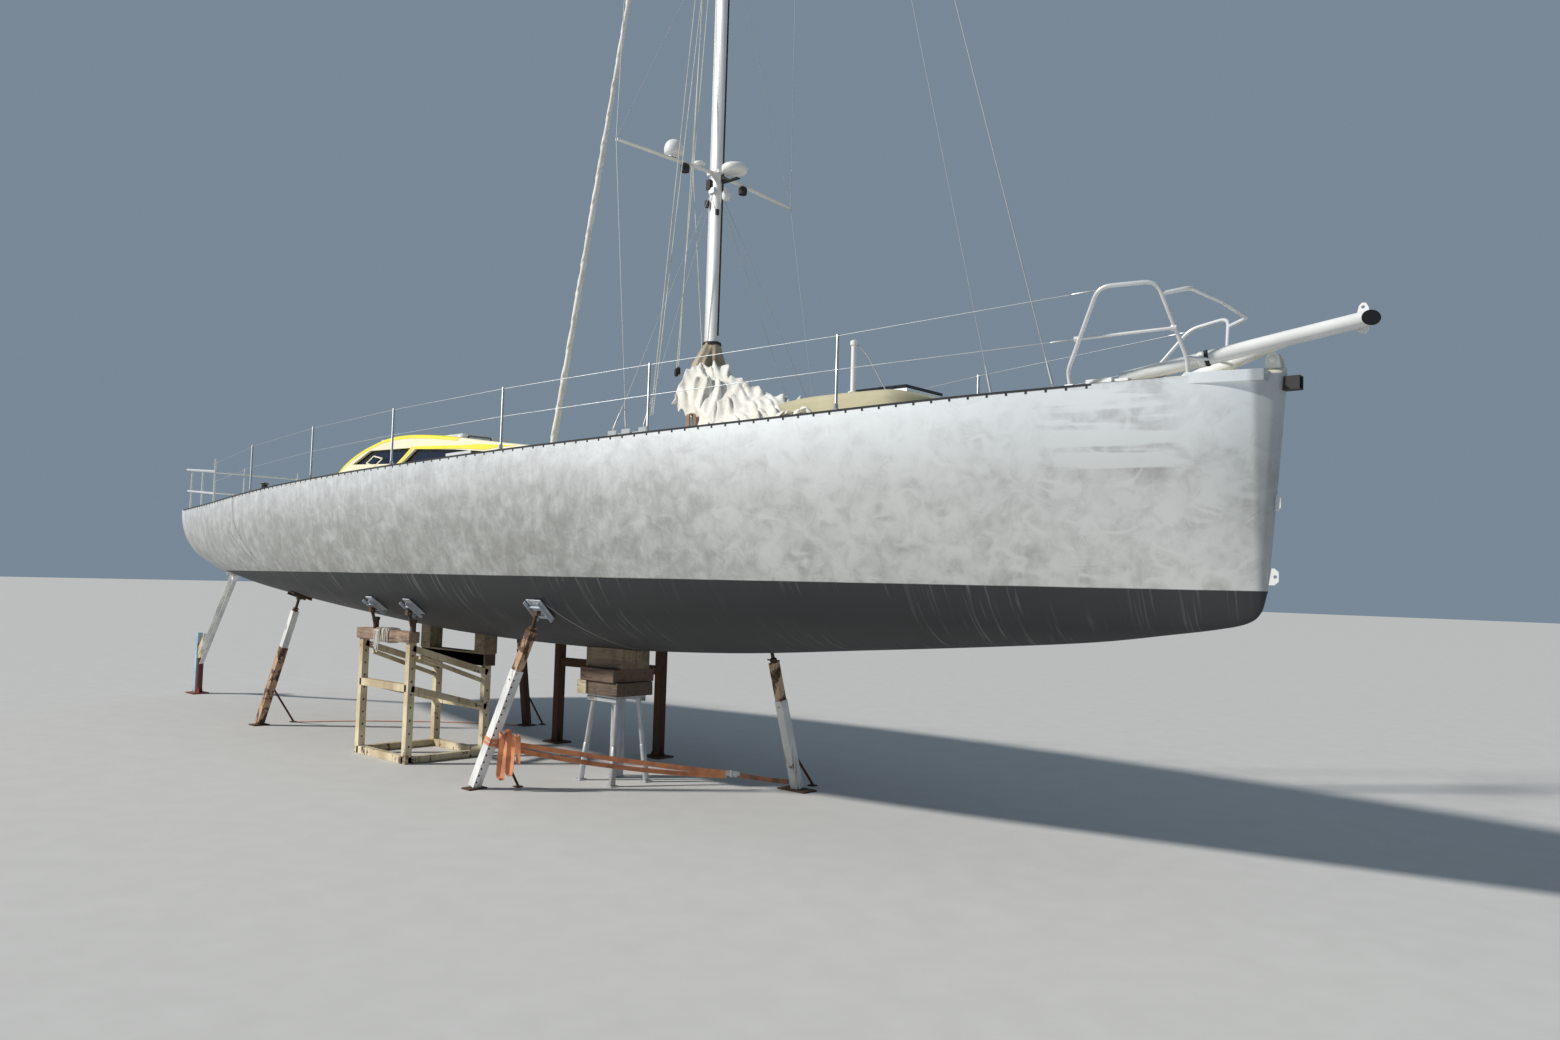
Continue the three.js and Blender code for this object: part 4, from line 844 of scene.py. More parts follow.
# %% Stainless steel
def tube_steel(name, pale, dark, metal=0.75, rough=0.3):
    """Polished metal with a dull film and small spots."""
    paint = Paint(name, Metallic=metal, Roughness=rough)
    where = paint.place()
    film = paint.noise(where, 4.0, 5, 0.6)
    spots = paint.noise(where, 45, 3).rise(0.60, 0.72)
    paint.feed(Base_Color=paint.mix(spots * 0.35 + film.rise(0.4, 0.7) * 0.5, pale, dark),
               Roughness=rough + film * 0.15)
    return paint.bump(paint.noise(where, 90, 2), 0.0004, 0.25)


rail_steel = tube_steel("rail_steel", tone(0.80, 0.81, 0.82), tone(0.58, 0.59, 0.60), metal=0.45)
post_steel = tube_steel("post_steel", tone(0.42, 0.45, 0.48), tone(0.26, 0.28, 0.30), metal=0.6)
wire_steel = tube_steel("wire_steel", tone(0.55, 0.56, 0.57), tone(0.36, 0.37, 0.38), rough=0.35)


def foot(aft, y, long, wide, high=0.008, lift=0.0):
    """A foot plate on the deck with a bolt at each end."""
    z = deck_top(aft, y) + lift
    head = [[0.0005, 0], [0.006, 0], [0.006, 0.004], [0.0005, 0.005]]
    bolts = [turned(head, at(aft + k * long * 0.36, y, z + high), 8) for k in (-1, 1)]
    return [block(at(aft, y, z + high / 2), (long, wide, high))] + bolts


STANCHIONS = [3.15, 5.10, 7.05, 8.95, 10.85, 12.90]
LINE_AFT = 14.65


def guard_rail(side):
    """Posts on their feet, an eye for each wire, and two wires with a tension screw at both ends."""
    shapes = []
    for aft in STANCHIONS:
        y = side * rail_y(aft)
        base = deck_top(aft, y)
        shapes += foot(aft, y, 0.068, 0.056)
        shapes.append(turned([[0.020, 0.004], [0.020, 0.05], [0.015, 0.056], [0.013, 0.06], [0.013, 0.643],
                              [0.009, 0.650], [0.001, 0.651]], at(aft, y, base), 16))
        for high in (0.632, 0.344):
            shapes.append(tube([at(aft - 0.016, y, base + high), at(aft + 0.016, y, base + high)], 0.0075, 10))
    for high, fore, last in ((0.632, (0.950, 0.832, 4.436), 0.586), (0.344, (1.190, 0.690, 4.128), 0.316)):
        line = [at(fore[0], side * fore[1], fore[2])]
        line += [at(a, side * rail_y(a), deck_top(a, rail_y(a)) + high) for a in STANCHIONS]
        line.append(at(LINE_AFT, side * rail_y(LINE_AFT), deck_top(LINE_AFT, rail_y(LINE_AFT)) + last))
        shapes.append(tube(line, 0.0032, 8))
        for end, other in ((line[0], line[1]), (line[-1], line[-2])):
            way = (other - end).normalized()
            shapes.append(collar(end, way, 0.03, 0.15, 0.02, 0.004, 0.0075, 10))
    return shapes


for side, word in SIDES:
    piece("guard_rail_wires_" + word, guard_rail(side), post_steel, "guard_rail_" + word)

# %% [markdown]
# The rail at the bow is two bent hoops that cross bars join in front of the stem; the stern rail
# has a gate post, a corner post and two level bars that run right round the stern.

# %% Pulpit and pushpit
def pulpit_side(side):
    """One bent hoop, its middle bar in two sockets, and the halves of the two front bars."""
    legs = [(1.276, 0.575, deck_top(1.276, 0.575)), (1.290, 0.590, 3.915), (0.924, 0.840, 4.458),
            (0.550, 0.690, 4.475), (0.450, 0.372, 3.950), (0.462, 0.335, deck_top(0.462, 0.335))]
    path = rounded([at(a, side * y, z) for a, y, z in legs], 0.09)
    middle = [at(1.176, side * 0.675, 4.134), at(0.494, side * 0.512, 4.162)]
    shapes = [tube(path, 0.016, 16), tube(middle, 0.012, 14)]
    for radius, ends in ((0.016, [(0.535, 0.640, 4.392), (0.358, 0.560, 4.425)]),
                         (0.013, [(0.452, 0.378, 3.962), (0.300, 0.250, 3.952)])):
        bar = [at(a, side * y, z) for a, y, z in ends] + [at(ends[1][0] - 0.02, 0, ends[1][2] + 0.006)]
        shapes.append(tube(rounded(bar, 0.05), radius, 16))
    for here, other, radius in ((middle[0], middle[1], 0.021), (middle[1], middle[0], 0.022)):
        way = (other - here).normalized()
        shapes.append(tube([here - way * 0.018, here + way * 0.022], radius, 14))
    shapes += foot(1.276, side * 0.575, 0.068, 0.052) + foot(0.462, side * 0.335, 0.068, 0.052)
    return shapes


piece("pulpit_tubes", both(pulpit_side), rail_steel, "pulpit")
GATE_Y = rail_y(LINE_AFT)
POSTS = [(15.50, (GATE_Y + 1.30) / 2, 0.570, 0.014), (16.33, 1.30, 0.635, 0.015), (16.40, 0.45, 0.640, 0.014)]


def pushpit_side(side):
    """The gate post, two level bars as far as the middle of the stern, and three posts."""
    shapes = []
    gate = deck_top(LINE_AFT, GATE_Y)
    corner = deck_top(16.40, 1.30)
    shapes.append(tube([at(LINE_AFT, side * GATE_Y, gate), at(LINE_AFT, side * GATE_Y, gate + 0.655)], 0.014, 16))
    for low, high in ((0.470, 0.640), (0.140, 0.300)):
        path = [at(LINE_AFT, side * GATE_Y, gate + low),
                at(16.43, side * (1.30 + 0.09 * high), corner + high), at(16.43, 0, corner + high)]
        shapes.append(tube(rounded(path, 0.09), 0.015, 16))
    for aft, y, high, radius in POSTS:
        post_foot = at(aft, side * y, deck_top(aft, y))
        shapes.append(tube([post_foot, post_foot + Vector((0, 0, high))], radius, 14))
        shapes += foot(aft, side * y, 0.060, 0.052)
    return shapes + foot(LINE_AFT, side * GATE_Y, 0.060, 0.052)


piece("pushpit_tubes", both(pushpit_side), rail_steel, "pushpit")

# %% [markdown]
# The bow carries a working platform each side of the stem, a cheeked stem head for the anchor
# chain, and a short A-shaped bowsprit: one painted tube runs out to a lug, the other is welded
# to its side. The long tube is closed with a dark plate, cut on the slant, and has a clamp ring.

# %% Bow gear
SPRIT_ENDS = {-1: at(-0.684, -0.030, 4.171), 1: at(-0.170, -0.120, 4.080)}


def leg(side):
    """Root, direction and length of one leg of the bowsprit; the port one is welded to the other."""
    root = at(0.970, side * 0.360, deck_top(0.970, 0.360) + 0.012)
    reach = SPRIT_ENDS[side] - root
    return root, reach.normalized(), reach.length


FACE = Vector((0.82, -0.57, 0.05)).normalized()


def slanted_tube(root, way, start, end, radius, sides=28):
    """A tube whose far end is cut on the slant, square to the way that its end plate faces."""
    side = way.orthogonal().normalized()
    other = way.cross(side)
    hoops = []
    for along in (start, end):
        hoop = []
        for k in range(sides):
            angle = 2 * pi * k / sides
            out = (side * cos(angle) + other * sin(angle)) * radius
            lean = -out.dot(FACE) / way.dot(FACE) if along > 1 else 0.0
            hoop.append(root + way * (along + lean) + out)
        hoops.append(hoop)
    return rings(hoops)


def bowsprit_side(side):
    root, way, length = leg(side)
    floor = deck_top(1.1, 0.40)
    bolt = [[0.0005, 0], [0.012, 0], [0.012, 0.008], [0.0005, 0.010]]
    shapes = [slanted_tube(root, way, 0, length, 0.055),
              slab(0.88, 1.05, side * 0.29, side * 0.43, root.z - 0.062, root.z - 0.002),
              slab(1.00, 1.21, side * 0.345, side * 0.455, floor - 0.01, floor + 0.026)]
    return shapes + [turned(bolt, at(aft, side * (0.36 + k * 0.052), root.z - 0.004), 8)
                     for aft in (0.90, 1.03) for k in (-1, 1)]


LUG = [(-0.575, 4.110), (-0.605, 4.078), (-0.640, 4.070), (-0.664, 4.100), (-0.668, 4.180),
       (-0.664, 4.252), (-0.646, 4.284), (-0.622, 4.288), (-0.602, 4.268), (-0.585, 4.20)]
lug_hole = [(-0.628 + 0.012 * cos(t), 4.257 + 0.012 * sin(t)) for t in np.linspace(0, 6.0, 14)]
sprit = piece("bowsprit_legs", both(bowsprit_side) + [prism(LUG, -0.009, 0.009)], painted,
              "bowsprit")
cut(sprit, [prism(lug_hole, -0.05, 0.05)], yellow)
clamp_root, clamp_way, clamp_length = leg(-1)
piece("bowsprit_ring_and_caps",
      [collar(clamp_root, clamp_way, 0.62, 0.030, 0.004, 0.058, 0.061, 28),
       slanted_tube(clamp_root, clamp_way, 1.5, clamp_length + 0.004, 0.054)], dark_fitting)
piece("bowsprit_collar", [collar(clamp_root, clamp_way, 0.575, 0.040, 0.006, 0.055, 0.060, 28)],
      white_gloss)
stem_top = deck_top(0) + 0.001
CHEEK = [(0.010, -0.006), (0.010, 0.060), (-0.004, 0.100), (-0.030, 0.118), (-0.062, 0.110), (-0.086, 0.078),
         (-0.098, 0.020), (-0.098, -0.006)]


PIN_HEAD = [[0.0005, 0], [0.030, 0], [0.030, 0.004], [0.018, 0.012], [0.0005, 0.014]]


def stem_cheek(side):
    """A cheek plate with the round head of its pin."""
    outline = [(a, stem_top + h) for a, h in CHEEK]
    points, faces = turned(PIN_HEAD, (0, 0, 0), 18)
    hub = at(-0.040, side * 0.054, stem_top + 0.060)
    points = [Vector((p.x, side * p.z, -side * p.y)) + hub for p in points]
    return [prism(outline, side * 0.047 - 0.007, side * 0.047 + 0.007), (points, faces)]


def crosswise(profile, centre):
    """A turned shape laid on its side, along y."""
    points, faces = turned(profile, (0, 0, 0), 24)
    return [Vector((p.x, p.z, -p.y)) + centre for p in points], faces


SHEAVE = [[0.010, -0.040], [0.026, -0.040], [0.026, -0.030], [0.014, -0.010], [0.014, 0.010],
          [0.026, 0.030], [0.026, 0.040], [0.010, 0.040]]
sheave = crosswise(SHEAVE, at(-0.040, 0, stem_top + 0.060))
piece("stem_head_cheeks", both(stem_cheek) + [sheave], painted, "stem_head", bevel=0.003)
BOX_LOW, BOX_TOP = 3.722, 3.822


def box_ring(aft, inset):
    half, low, top = 0.042 - inset, BOX_LOW + inset, BOX_TOP - inset
    return [at(aft, -half, low), at(aft, half, low), at(aft, half, top), at(aft, -half, top)]


ROLLER = [[0.004, -0.032], [0.028, -0.030], [0.018, 0], [0.028, 0.030], [0.004, 0.032]]
roller_box = [rings([box_ring(-0.100, 0), box_ring(-0.225, 0), box_ring(-0.225, 0.008), box_ring(-0.110, 0.008)]),
              crosswise(ROLLER, at(-0.180, 0, 3.772))]
piece("anchor_roller_cage", roller_box, dark_fitting, "anchor_roller_box", bevel=0.003)


def bow_shelf(side):
    """A thick plate flush with the hull at its aft end and standing out from it at the stem."""
    outline = [(0.480, 0.372), (-0.030, 0.245), (-0.045, 0.235), (-0.045, 0.100), (0.200, 0.190),
               (0.480, 0.330)]
    return [rings([[at(a, side * y, z) for a, y in outline] for z in (3.772, 3.856)])]


for side, word in SIDES:
    piece("bow_shelf_" + word, bow_shelf(side), bare_metal, "bow_platform_" + word,
          bevel=0.004)
dress(painted, "stem_tang_upper", "stem_tang_lower", bevel=0.002)

# %% [markdown]
# The mast is an oval tube with a sail track up its aft side. Four pairs of thin wing-shaped
# spreaders go through it. The lowest pair carries a flat disc aerial and two lamps, with a domed
# aerial to starboard and a round radar scanner on a bracket in front of the mast.

# %% Mast, spreaders and masthead gear
MAST = 5.8
MAST_TOP = 20.25
SPREADERS = [(6.63, 1.30), (9.50, 1.24), (12.40, 1.13), (15.15, 0.96)]
HOUNDS = 17.6
mast_metal = tube_steel("mast_metal", tone(0.80, 0.80, 0.79), tone(0.66, 0.66, 0.65), metal=0.35, rough=0.38)
mast_foot = deck_top(MAST, 0.128) + 0.004


def turns_of(steps):
    """Angles that go once round in equal steps."""
    return np.linspace(0, 2 * pi, steps + 1)[:-1]


def mast_ring(z, size):
    """The mast's oval section at a height."""
    return [at(MAST - 0.086 * size * cos(a), 0.064 * size * sin(a), z) for a in turns_of(32)]


mast_rings = [mast_ring(z, size) for z, size in (
    (mast_foot - 0.08, 1), (mast_foot + 0.3, 1), (9, 1), (14, 1), (20.24, 1), (MAST_TOP, 0.94))]
mast_shapes = [rings(mast_rings), slab(MAST + 0.082, MAST + 0.094, -0.014, 0.014, 4.8, 20.1),
               slab(MAST - 0.150, MAST + 0.150, -0.120, 0.120, mast_foot - 0.09, mast_foot + 0.012),
               slab(MAST + 0.094, MAST + 0.099, -0.020, 0.020, 4.8, 20.1)]
for z in [6.40] + [level - 0.110 for level, reach in SPREADERS[1:]] + [HOUNDS]:
    for side in (-1, 1):
        mast_shapes.append(slab(MAST - 0.04, MAST + 0.04, side * 0.05, side * 0.084, z, z + 0.060))
mast_shapes += [slab(MAST - 0.125, MAST - 0.060, -0.012, 0.012, HOUNDS, HOUNDS + 0.090),
                slab(MAST + 0.060, MAST + 0.130, -0.012, 0.012, 16.15, 16.23)]
piece("mast_tube", mast_shapes, mast_metal, "mast", bevel=0.002)
# a dark strip down the middle of the mast's front
piece("mast_front_dark_strip", [slab(MAST - 0.092, MAST - 0.085, -0.009, 0.009, 4.85, 19.8)],
      dark_fitting)


def tip_aft(row):
    """How far aft of the stem the tips of a pair are: each pair above sweeps back a little less."""
    return MAST + 0.110 - row * 0.020


def spreader(row, side):
    """A thin wing that narrows towards its tip, and the end that the shroud passes over."""
    z, reach = SPREADERS[row]
    root, tip = (MAST + 0.010, 0.0), (tip_aft(row), side * reach)
    hoops = []
    for t, size in ((0.02, 1.0), (0.5, 0.96), (0.9, 0.86), (1.0, 0.80)):
        aft, y = (start * (1 - t) + end * t for start, end in zip(root, tip))
        hoops.append([at(aft - 0.039 * size * cos(a), y, z + 0.011 * size * sin(a))
                      for a in turns_of(20)])
    cap = slab(tip[0] - 0.020, tip[0] + 0.020, tip[1] - 0.016, tip[1] + 0.016, z - 0.011, z + 0.011)
    return [rings(hoops), cap]


for row, (z, _) in enumerate(SPREADERS):
    shapes = both(lambda side: spreader(row, side))
    shapes.append(slab(MAST - 0.094, MAST + 0.094, -0.070, 0.070, z - 0.016, z + 0.016))
    piece("spreader_pair_%d" % (row + 1), shapes, painted, "spreaders_%d" % (row + 1),
          bevel=0.002)

DISC = [[0.0005, -0.006], [0.026, -0.006], [0.026, 0.020], [0.056, 0.026], [0.062, 0.030],
        [0.062, 0.044], [0.056, 0.050], [0.0005, 0.056]]
DOME = [[0.0005, 0], [0.060, 0], [0.060, 0.026], [0.094, 0.038], [0.099, 0.048], [0.100, 0.090], [0.096, 0.118],
        [0.082, 0.150], [0.062, 0.172], [0.036, 0.186], [0.0005, 0.190]]
RADOME = [[0.0005, -0.052], [0.100, -0.052], [0.122, -0.044], [0.136, -0.028], [0.141, -0.008], [0.141, 0.008],
          [0.136, 0.024], [0.122, 0.036], [0.100, 0.044], [0.066, 0.050], [0.0005, 0.052]]
LAMP = [[0.0005, -0.074], [0.038, -0.074], [0.038, -0.084], [0.046, -0.084], [0.050, -0.020], [0.040, -0.010],
        [0.022, 0], [0.022, 0.006], [0.0005, 0.006]]
piece("disc_aerial", [turned(DISC, at(MAST + 0.022, -0.25, 6.641))], white_gloss)
piece("domed_aerial", [turned(DOME, at(MAST + 0.050, -0.60, 6.6414), 40)], white_gloss,
      "dome_aerial")
piece("spreader_lamps", both(lambda side: [turned(LAMP, at(MAST + 0.040, side * 0.44, 6.619), 20)]),
      dark_fitting)
piece("radar_scanner", [turned(RADOME, at(5.539, 0, 6.630), 40)], white_gloss, "radome")
MAST_LAMP = [[0.0005, -0.085], [0.036, -0.080], [0.046, -0.060], [0.048, -0.010], [0.040, 0.006], [0.030, 0.030],
             [0.030, 0.050], [0.0005, 0.052]]
piece("mast_lamp", [turned(MAST_LAMP, at(5.655, 0, 6.395), 24)], white_gloss)
MAST_FITTINGS = [((5.845, -0.078, 6.500), (0.060, 0.034, 0.110)),
                 ((5.860, -0.082, 6.290), (0.050, 0.030, 0.080)),
                 ((5.720, -0.062, 6.180), (0.030, 0.034, 0.060))]
piece("mast_lamp_arm", [slab(5.640, MAST - 0.080, -0.010, 0.010, 6.440, 6.455)]
      + [block(at(*spot), sizes) for spot, sizes in MAST_FITTINGS], dark_fitting, bevel=0.004)
GUSSET = [(5.60, 6.524), (MAST - 0.080, 6.524), (MAST - 0.080, 6.60)]
piece("radar_bracket", [slab(5.479, MAST - 0.084, -0.028, 0.028, 6.512, 6.524),
                        prism(GUSSET, -0.024, -0.018), prism(GUSSET, 0.018, 0.024)],
      dark_fitting, bevel=0.001)

# %% [markdown]
# The wires hold the mast: cap shrouds over the spreader tips, diagonals between them, two lowers
# a side, and two forestays. Each ends at the deck in a turnbuckle on a plate.

# %% Shrouds and stays
CAP_FOOT = (5.45, 1.44)
LOWER_FEET = [(5.25, 1.40), (5.64, 1.45)]


def turnbuckle(foot_at, way):
    path = [foot_at + way * d for d in (0, 0.03, 0.034, 0.21, 0.214, 0.30)]
    return tube(path, [0.005, 0.005, 0.011, 0.011, 0.007, 0.005], 12)


def plate_top(aft, y):
    return at(aft, y, deck_top(aft, y) + 0.050)


def deck_plate(aft, y, half, high, low):
    """The upright plate that a wire pulls on, and the flat one under it on the deck."""
    floor, base = deck_top(aft, y), half + 0.015
    return [slab(aft - half, aft + half, y - 0.007, y + 0.007, floor - low, floor + high),
            slab(aft - base, aft + base, y - 0.025, y + 0.025, floor - low, floor + 0.008)]


def shrouds(side):
    """The cap shroud over the tips, the diagonals, the lowers, and their turnbuckles and plates."""
    shapes = []
    tips = [at(tip_aft(row), side * (reach + 0.0219 + 0.0015 * row), z)
            for row, (z, reach) in enumerate(SPREADERS)]
    cap = [plate_top(CAP_FOOT[0], side * CAP_FOOT[1])] + tips
    cap.append(at(MAST + 0.010, side * 0.074, HOUNDS - 0.0014))
    shapes.append(tube(cap, 0.0035, 8))
    shapes += [tube([tips[i], at(MAST, side * 0.074, SPREADERS[i + 1][0] - 0.112)], 0.0035, 8)
               for i in range(3)]
    feet = [CAP_FOOT] + LOWER_FEET
    ways = [(cap[1] - cap[0]).normalized()]
    for i, (aft, y) in enumerate(LOWER_FEET):
        root = plate_top(aft, side * y)
        head = at(MAST - 0.022 + 0.044 * i, side * 0.074, 6.3976)
        shapes.append(tube([root, head], 0.0035, 8))
        ways.append((head - root).normalized())
    for (aft, y), way in zip(feet, ways):
        shapes.append(turnbuckle(plate_top(aft, side * y), way))
        shapes += deck_plate(aft, side * y, 0.060, 0.060, 0.02)
    ends = [at(aft, side * y, deck_top(aft, y) + 0.012) for aft, y in ((5.20, 1.40), (5.70, 1.45))]
    shapes.append(beam(*ends, 0.016, 0.024, (0, 0, 1)))
    return shapes


for side, word in SIDES:
    piece("shroud_wires_" + word, shrouds(side), wire_steel, "shrouds_" + word)


def stay(aft, radius, head_aft):
    """A forestay from the deck to the mast, on a turnbuckle and its plates."""
    root = at(aft, 0, deck_top(aft) + 0.040)
    head = at(head_aft, 0, HOUNDS - 0.0014)
    way = (head - root).normalized()
    return [tube([root, head], radius, 8), turnbuckle(root, way)] + deck_plate(aft, 0, 0.045, 0.050, 0.01)


piece("forestay_wire_outer", stay(1.730, 0.0055, 5.683), wire_steel, "forestay_outer")
piece("forestay_wire_inner", stay(2.320, 0.0035, 5.709), wire_steel, "forestay_inner")

# %% [markdown]
# Sailcloth and canvas are woven: a fine crossed bump, a soft sheen, and stains spread at random.
# The rolled headsail is a long thin roll of white cloth. Its free edge winds round it as a
# step that climbs the roll, so the skin's radius jumps once a turn, and the roll is a little
# lumpy where the cloth was rolled unevenly.

# %% Sailcloth
def woven(name, pale, dark, threads=420):
    """Woven cloth with stains in it; threads is how fine the weave is."""
    paint = Paint(name, Roughness=0.82, Sheen_Weight=0.25, Sheen_Roughness=0.5)
    where = paint.place()
    stains = paint.noise(where, 3.0, 6, 0.65).rise(0.42, 0.70)
    fine = paint.noise(where, 26, 4)
    paint.feed(Base_Color=paint.mix(stains * 0.7 + fine * 0.25, pale, dark))
    x, y, z = paint.axes(paint.scaled(where, threads, threads, threads))
    weave = (x + y).math("SINE", x + y) * z.math("SINE", z)
    return paint.bump(weave * 0.5 + fine, 0.0007, 0.5)


sailcloth = woven("sailcloth_white", tone(0.82, 0.80, 0.74), tone(0.56, 0.53, 0.46))
tan_cloth = woven("canvas_tan", tone(0.46, 0.38, 0.27), tone(0.22, 0.17, 0.12), threads=300)
ROLL_FOOT = at(7.95, -0.45, 3.700)
ROLL_TOP = at(MAST + 0.096, 0, 16.144)
TURN_LENGTH = 0.34


def sail_roll():
    """The roll, thick at its foot, with the step of its free edge winding round it."""
    way = (ROLL_TOP - ROLL_FOOT).normalized()
    side = way.cross(Vector((1, 0, 0))).normalized()
    other = way.cross(side)
    length = (ROLL_TOP - ROLL_FOOT).length
    rng = random.Random(5)
    lumps = [rng.uniform(-1, 1) for _ in range(140)]
    hoops = []
    for k in range(621):
        t = k / 620
        middle = ROLL_FOOT.lerp(ROLL_TOP, t)
        turn = t * length / TURN_LENGTH
        lump = 1 + 0.13 * float(np.interp(t * 139, range(140), lumps))
        radius = (0.037 - 0.023 * t) * lump
        hoop = []
        for j in range(22):
            angle = j / 22 * 2 * pi
            step = (j / 22 - turn) % 1.0
            out = side * cos(angle) + other * sin(angle)
            hoop.append(middle + out * (radius * (0.80 + 0.26 * step)))
        hoops.append(hoop)
    return rings(hoops)


roll = piece("rolled_headsail", [sail_roll()], sailcloth, "rolled_sail", crease=50)
FURLER = [[0.0005, 0], [0.075, 0], [0.080, 0.010], [0.040, 0.014], [0.036, 0.060], [0.080, 0.066],
          [0.074, 0.078], [0.020, 0.084], [0.0005, 0.09]]
piece("headsail_furler", [turned(FURLER, ROLL_FOOT + Vector((0, 0, -0.030)), 24),
                          slab(7.90, 8.00, -0.47, -0.43, 3.60, 3.68)], dark_fitting)

# %% [markdown]
# The mainsail lies lowered at the foot of the mast, a heap of white cloth that hangs from the
# mast and spreads forward over the deck. A heap like this has no shape of its own: it is made by
# letting a crumpled sheet fall over a rough mound that stands for the folds beneath, with the
# sheet's own size kept as its rest shape, so the spare cloth has to fold.

# %% Drape a sheet
# each row: distance aft of the stem, middle, half width and height of the mound
HEAP = [(3.80, -0.44, 0.12, 0.05), (4.00, -0.44, 0.18, 0.12), (4.30, -0.42, 0.30, 0.22),
        (4.65, -0.37, 0.40, 0.36), (4.95, -0.34, 0.42, 0.50), (5.22, -0.33, 0.38, 0.62),
        (5.44, -0.31, 0.31, 0.73), (5.62, -0.28, 0.22, 0.62)]


def mound(grow):
    """A closed heap over the table, narrower towards its top; grow makes it larger or smaller."""
    hoops = []
    for aft, middle, half, high in HEAP:
        floor = deck_top(aft, middle) - 0.03
        hoop = []
        for a in turns_of(24):
            up = sin(a)
            out = (half + grow) * cos(a) * (1 if up < 0 else 1 - 0.55 * up)
            hoop.append(at(aft, middle + out, floor + (high + grow) * max(0, up) - 0.05 * (up < 0)))
        hoops.append(hoop)
    return rings(hoops)


def helper(name, shape):
    """A body that the cloth falls on, and that is deleted when it has."""
    made = joined(name, [shape])
    made.modifiers.new("collision", "COLLISION")
    made.collision.thickness_outer = 0.012
    made.collision.cloth_friction = 30
    return made


def drape(sheet, supports, frames):
    """Lets a sheet fall for some frames and keeps the shape that it ends in."""
    fall = sheet.modifiers.new("fall", "CLOTH")
    rules = fall.settings
    rules.quality = 7
    rules.mass = 0.35
    rules.tension_stiffness = 25
    rules.compression_stiffness = 25
    rules.shear_stiffness = 8
    rules.bending_stiffness = 6.0
    rules.air_damping = 2.5
    rules.rest_shape_key = sheet.data.shape_keys.key_blocks["flat"]
    rules.vertex_group_mass = "held"
    fall.collision_settings.distance_min = 0.010
    fall.collision_settings.use_self_collision = True
    fall.collision_settings.self_distance_min = 0.006
    scene = bpy.context.scene
    scene.frame_start, scene.frame_end = 1, frames
    fall.point_cache.frame_start, fall.point_cache.frame_end = 1, frames
    for frame_number in range(1, frames + 1):
        scene.frame_set(frame_number)
    result = finished(sheet)
    sheet.modifiers.remove(fall)
    sheet.shape_key_clear()
    sheet.data = result
    scene.frame_set(1)
    for support in supports:
        bpy.data.objects.remove(support)


print("the mound is", round(HEAP[-1][0] - HEAP[0][0], 2), "m long")

# %% Lowered mainsail
SAIL_WIDE, SAIL_LONG = 1.8, 2.15
COLUMNS, ROWS = 74, 80


def crumpled_sheet():
    """A sheet gathered over the mound: its points start close together and are pulled up and down."""
    rng = np.random.default_rng(11)
    waves = [(rng.uniform(2, 9), rng.uniform(2, 9), rng.uniform(0, 6.28), rng.uniform(0.010, 0.030))
             for _ in range(9)]
    table = np.array(HEAP)
    flat, start = [], []
    for i in range(ROWS):
        for j in range(COLUMNS):
            u, v = i / (ROWS - 1), j / (COLUMNS - 1) - 0.5
            flat.append((u * SAIL_LONG, v * SAIL_WIDE, 0))
            aft = 5.68 - 1.92 * u
            middle, half, high = (float(np.interp(aft, table[:, 0], table[:, k])) for k in (1, 2, 3))
            lift = sum(size * sin(a * u * 6.28 + b * v * 6.28 + c) for a, b, c, size in waves)
            y = middle + v * 2 * (half + 0.16)
            dome = sqrt(max(0.0, 1 - min(1, abs(v) * 1.85) ** 2))
            z = deck_top(aft, y) + 0.07 + (high + 0.06) * dome + abs(lift) * 1.1
            start.append((STEM - aft + 0.5 * lift, y, z))
    mesh = bpy.data.meshes.new("lowered_mainsail")
    mesh.from_pydata(start, [], sheet_faces(ROWS, COLUMNS))
    sheet = bpy.data.objects.new("lowered_mainsail", mesh)
    bpy.context.scene.collection.objects.link(sheet)
    sheet.shape_key_add(name="start")
    key = sheet.shape_key_add(name="flat")
    for point, spot in zip(key.data, flat):
        point.co = spot
    held = sheet.vertex_groups.new(name="held")
    held.add(list(range(COLUMNS // 4, 3 * COLUMNS // 4)), 1.0, "REPLACE")
    return sheet


def thicken(sheet, thick):
    """Gives a fallen sheet its cloth's thickness, and smooths it once."""
    skin = sheet.modifiers.new("thick", "SOLIDIFY")
    skin.thickness = thick
    skin.offset = 0
    smooth = sheet.modifiers.new("smooth", "SUBSURF")
    smooth.levels = smooth.render_levels = 1
    result = finished(sheet)
    sheet.modifiers.clear()
    sheet.data = result
    sheet.data.shade_smooth()


mainsail = crumpled_sheet()
deck_points = [at(a, y, deck_top(a, y) + 0.004) for a in (3.4, 4.2, 5.0, 6.2)
               for y in (-1.2, -0.6, 0, 0.6)]
deck_stand_in = helper("deck_stand_in", (deck_points, sheet_faces(4, 4)))
drape(mainsail, [helper("mound", mound(-0.02)), deck_stand_in], 44)
thicken(mainsail, 0.004)
mainsail.data.materials.clear()
mainsail.data.materials.append(sailcloth.look)
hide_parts("sail_bundle")
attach(mainsail, "yacht")
print("mainsail", len(mainsail.data.polygons), "faces")

# %% [markdown]
# A tan canvas sleeve is bunched round the mast above the heap, tied with a cord. It is a tube of
# cloth whose radius swells between the ties and whose folds run up and down it, deepest where
# the cloth is loose; it sags to one side, as gathered canvas does.

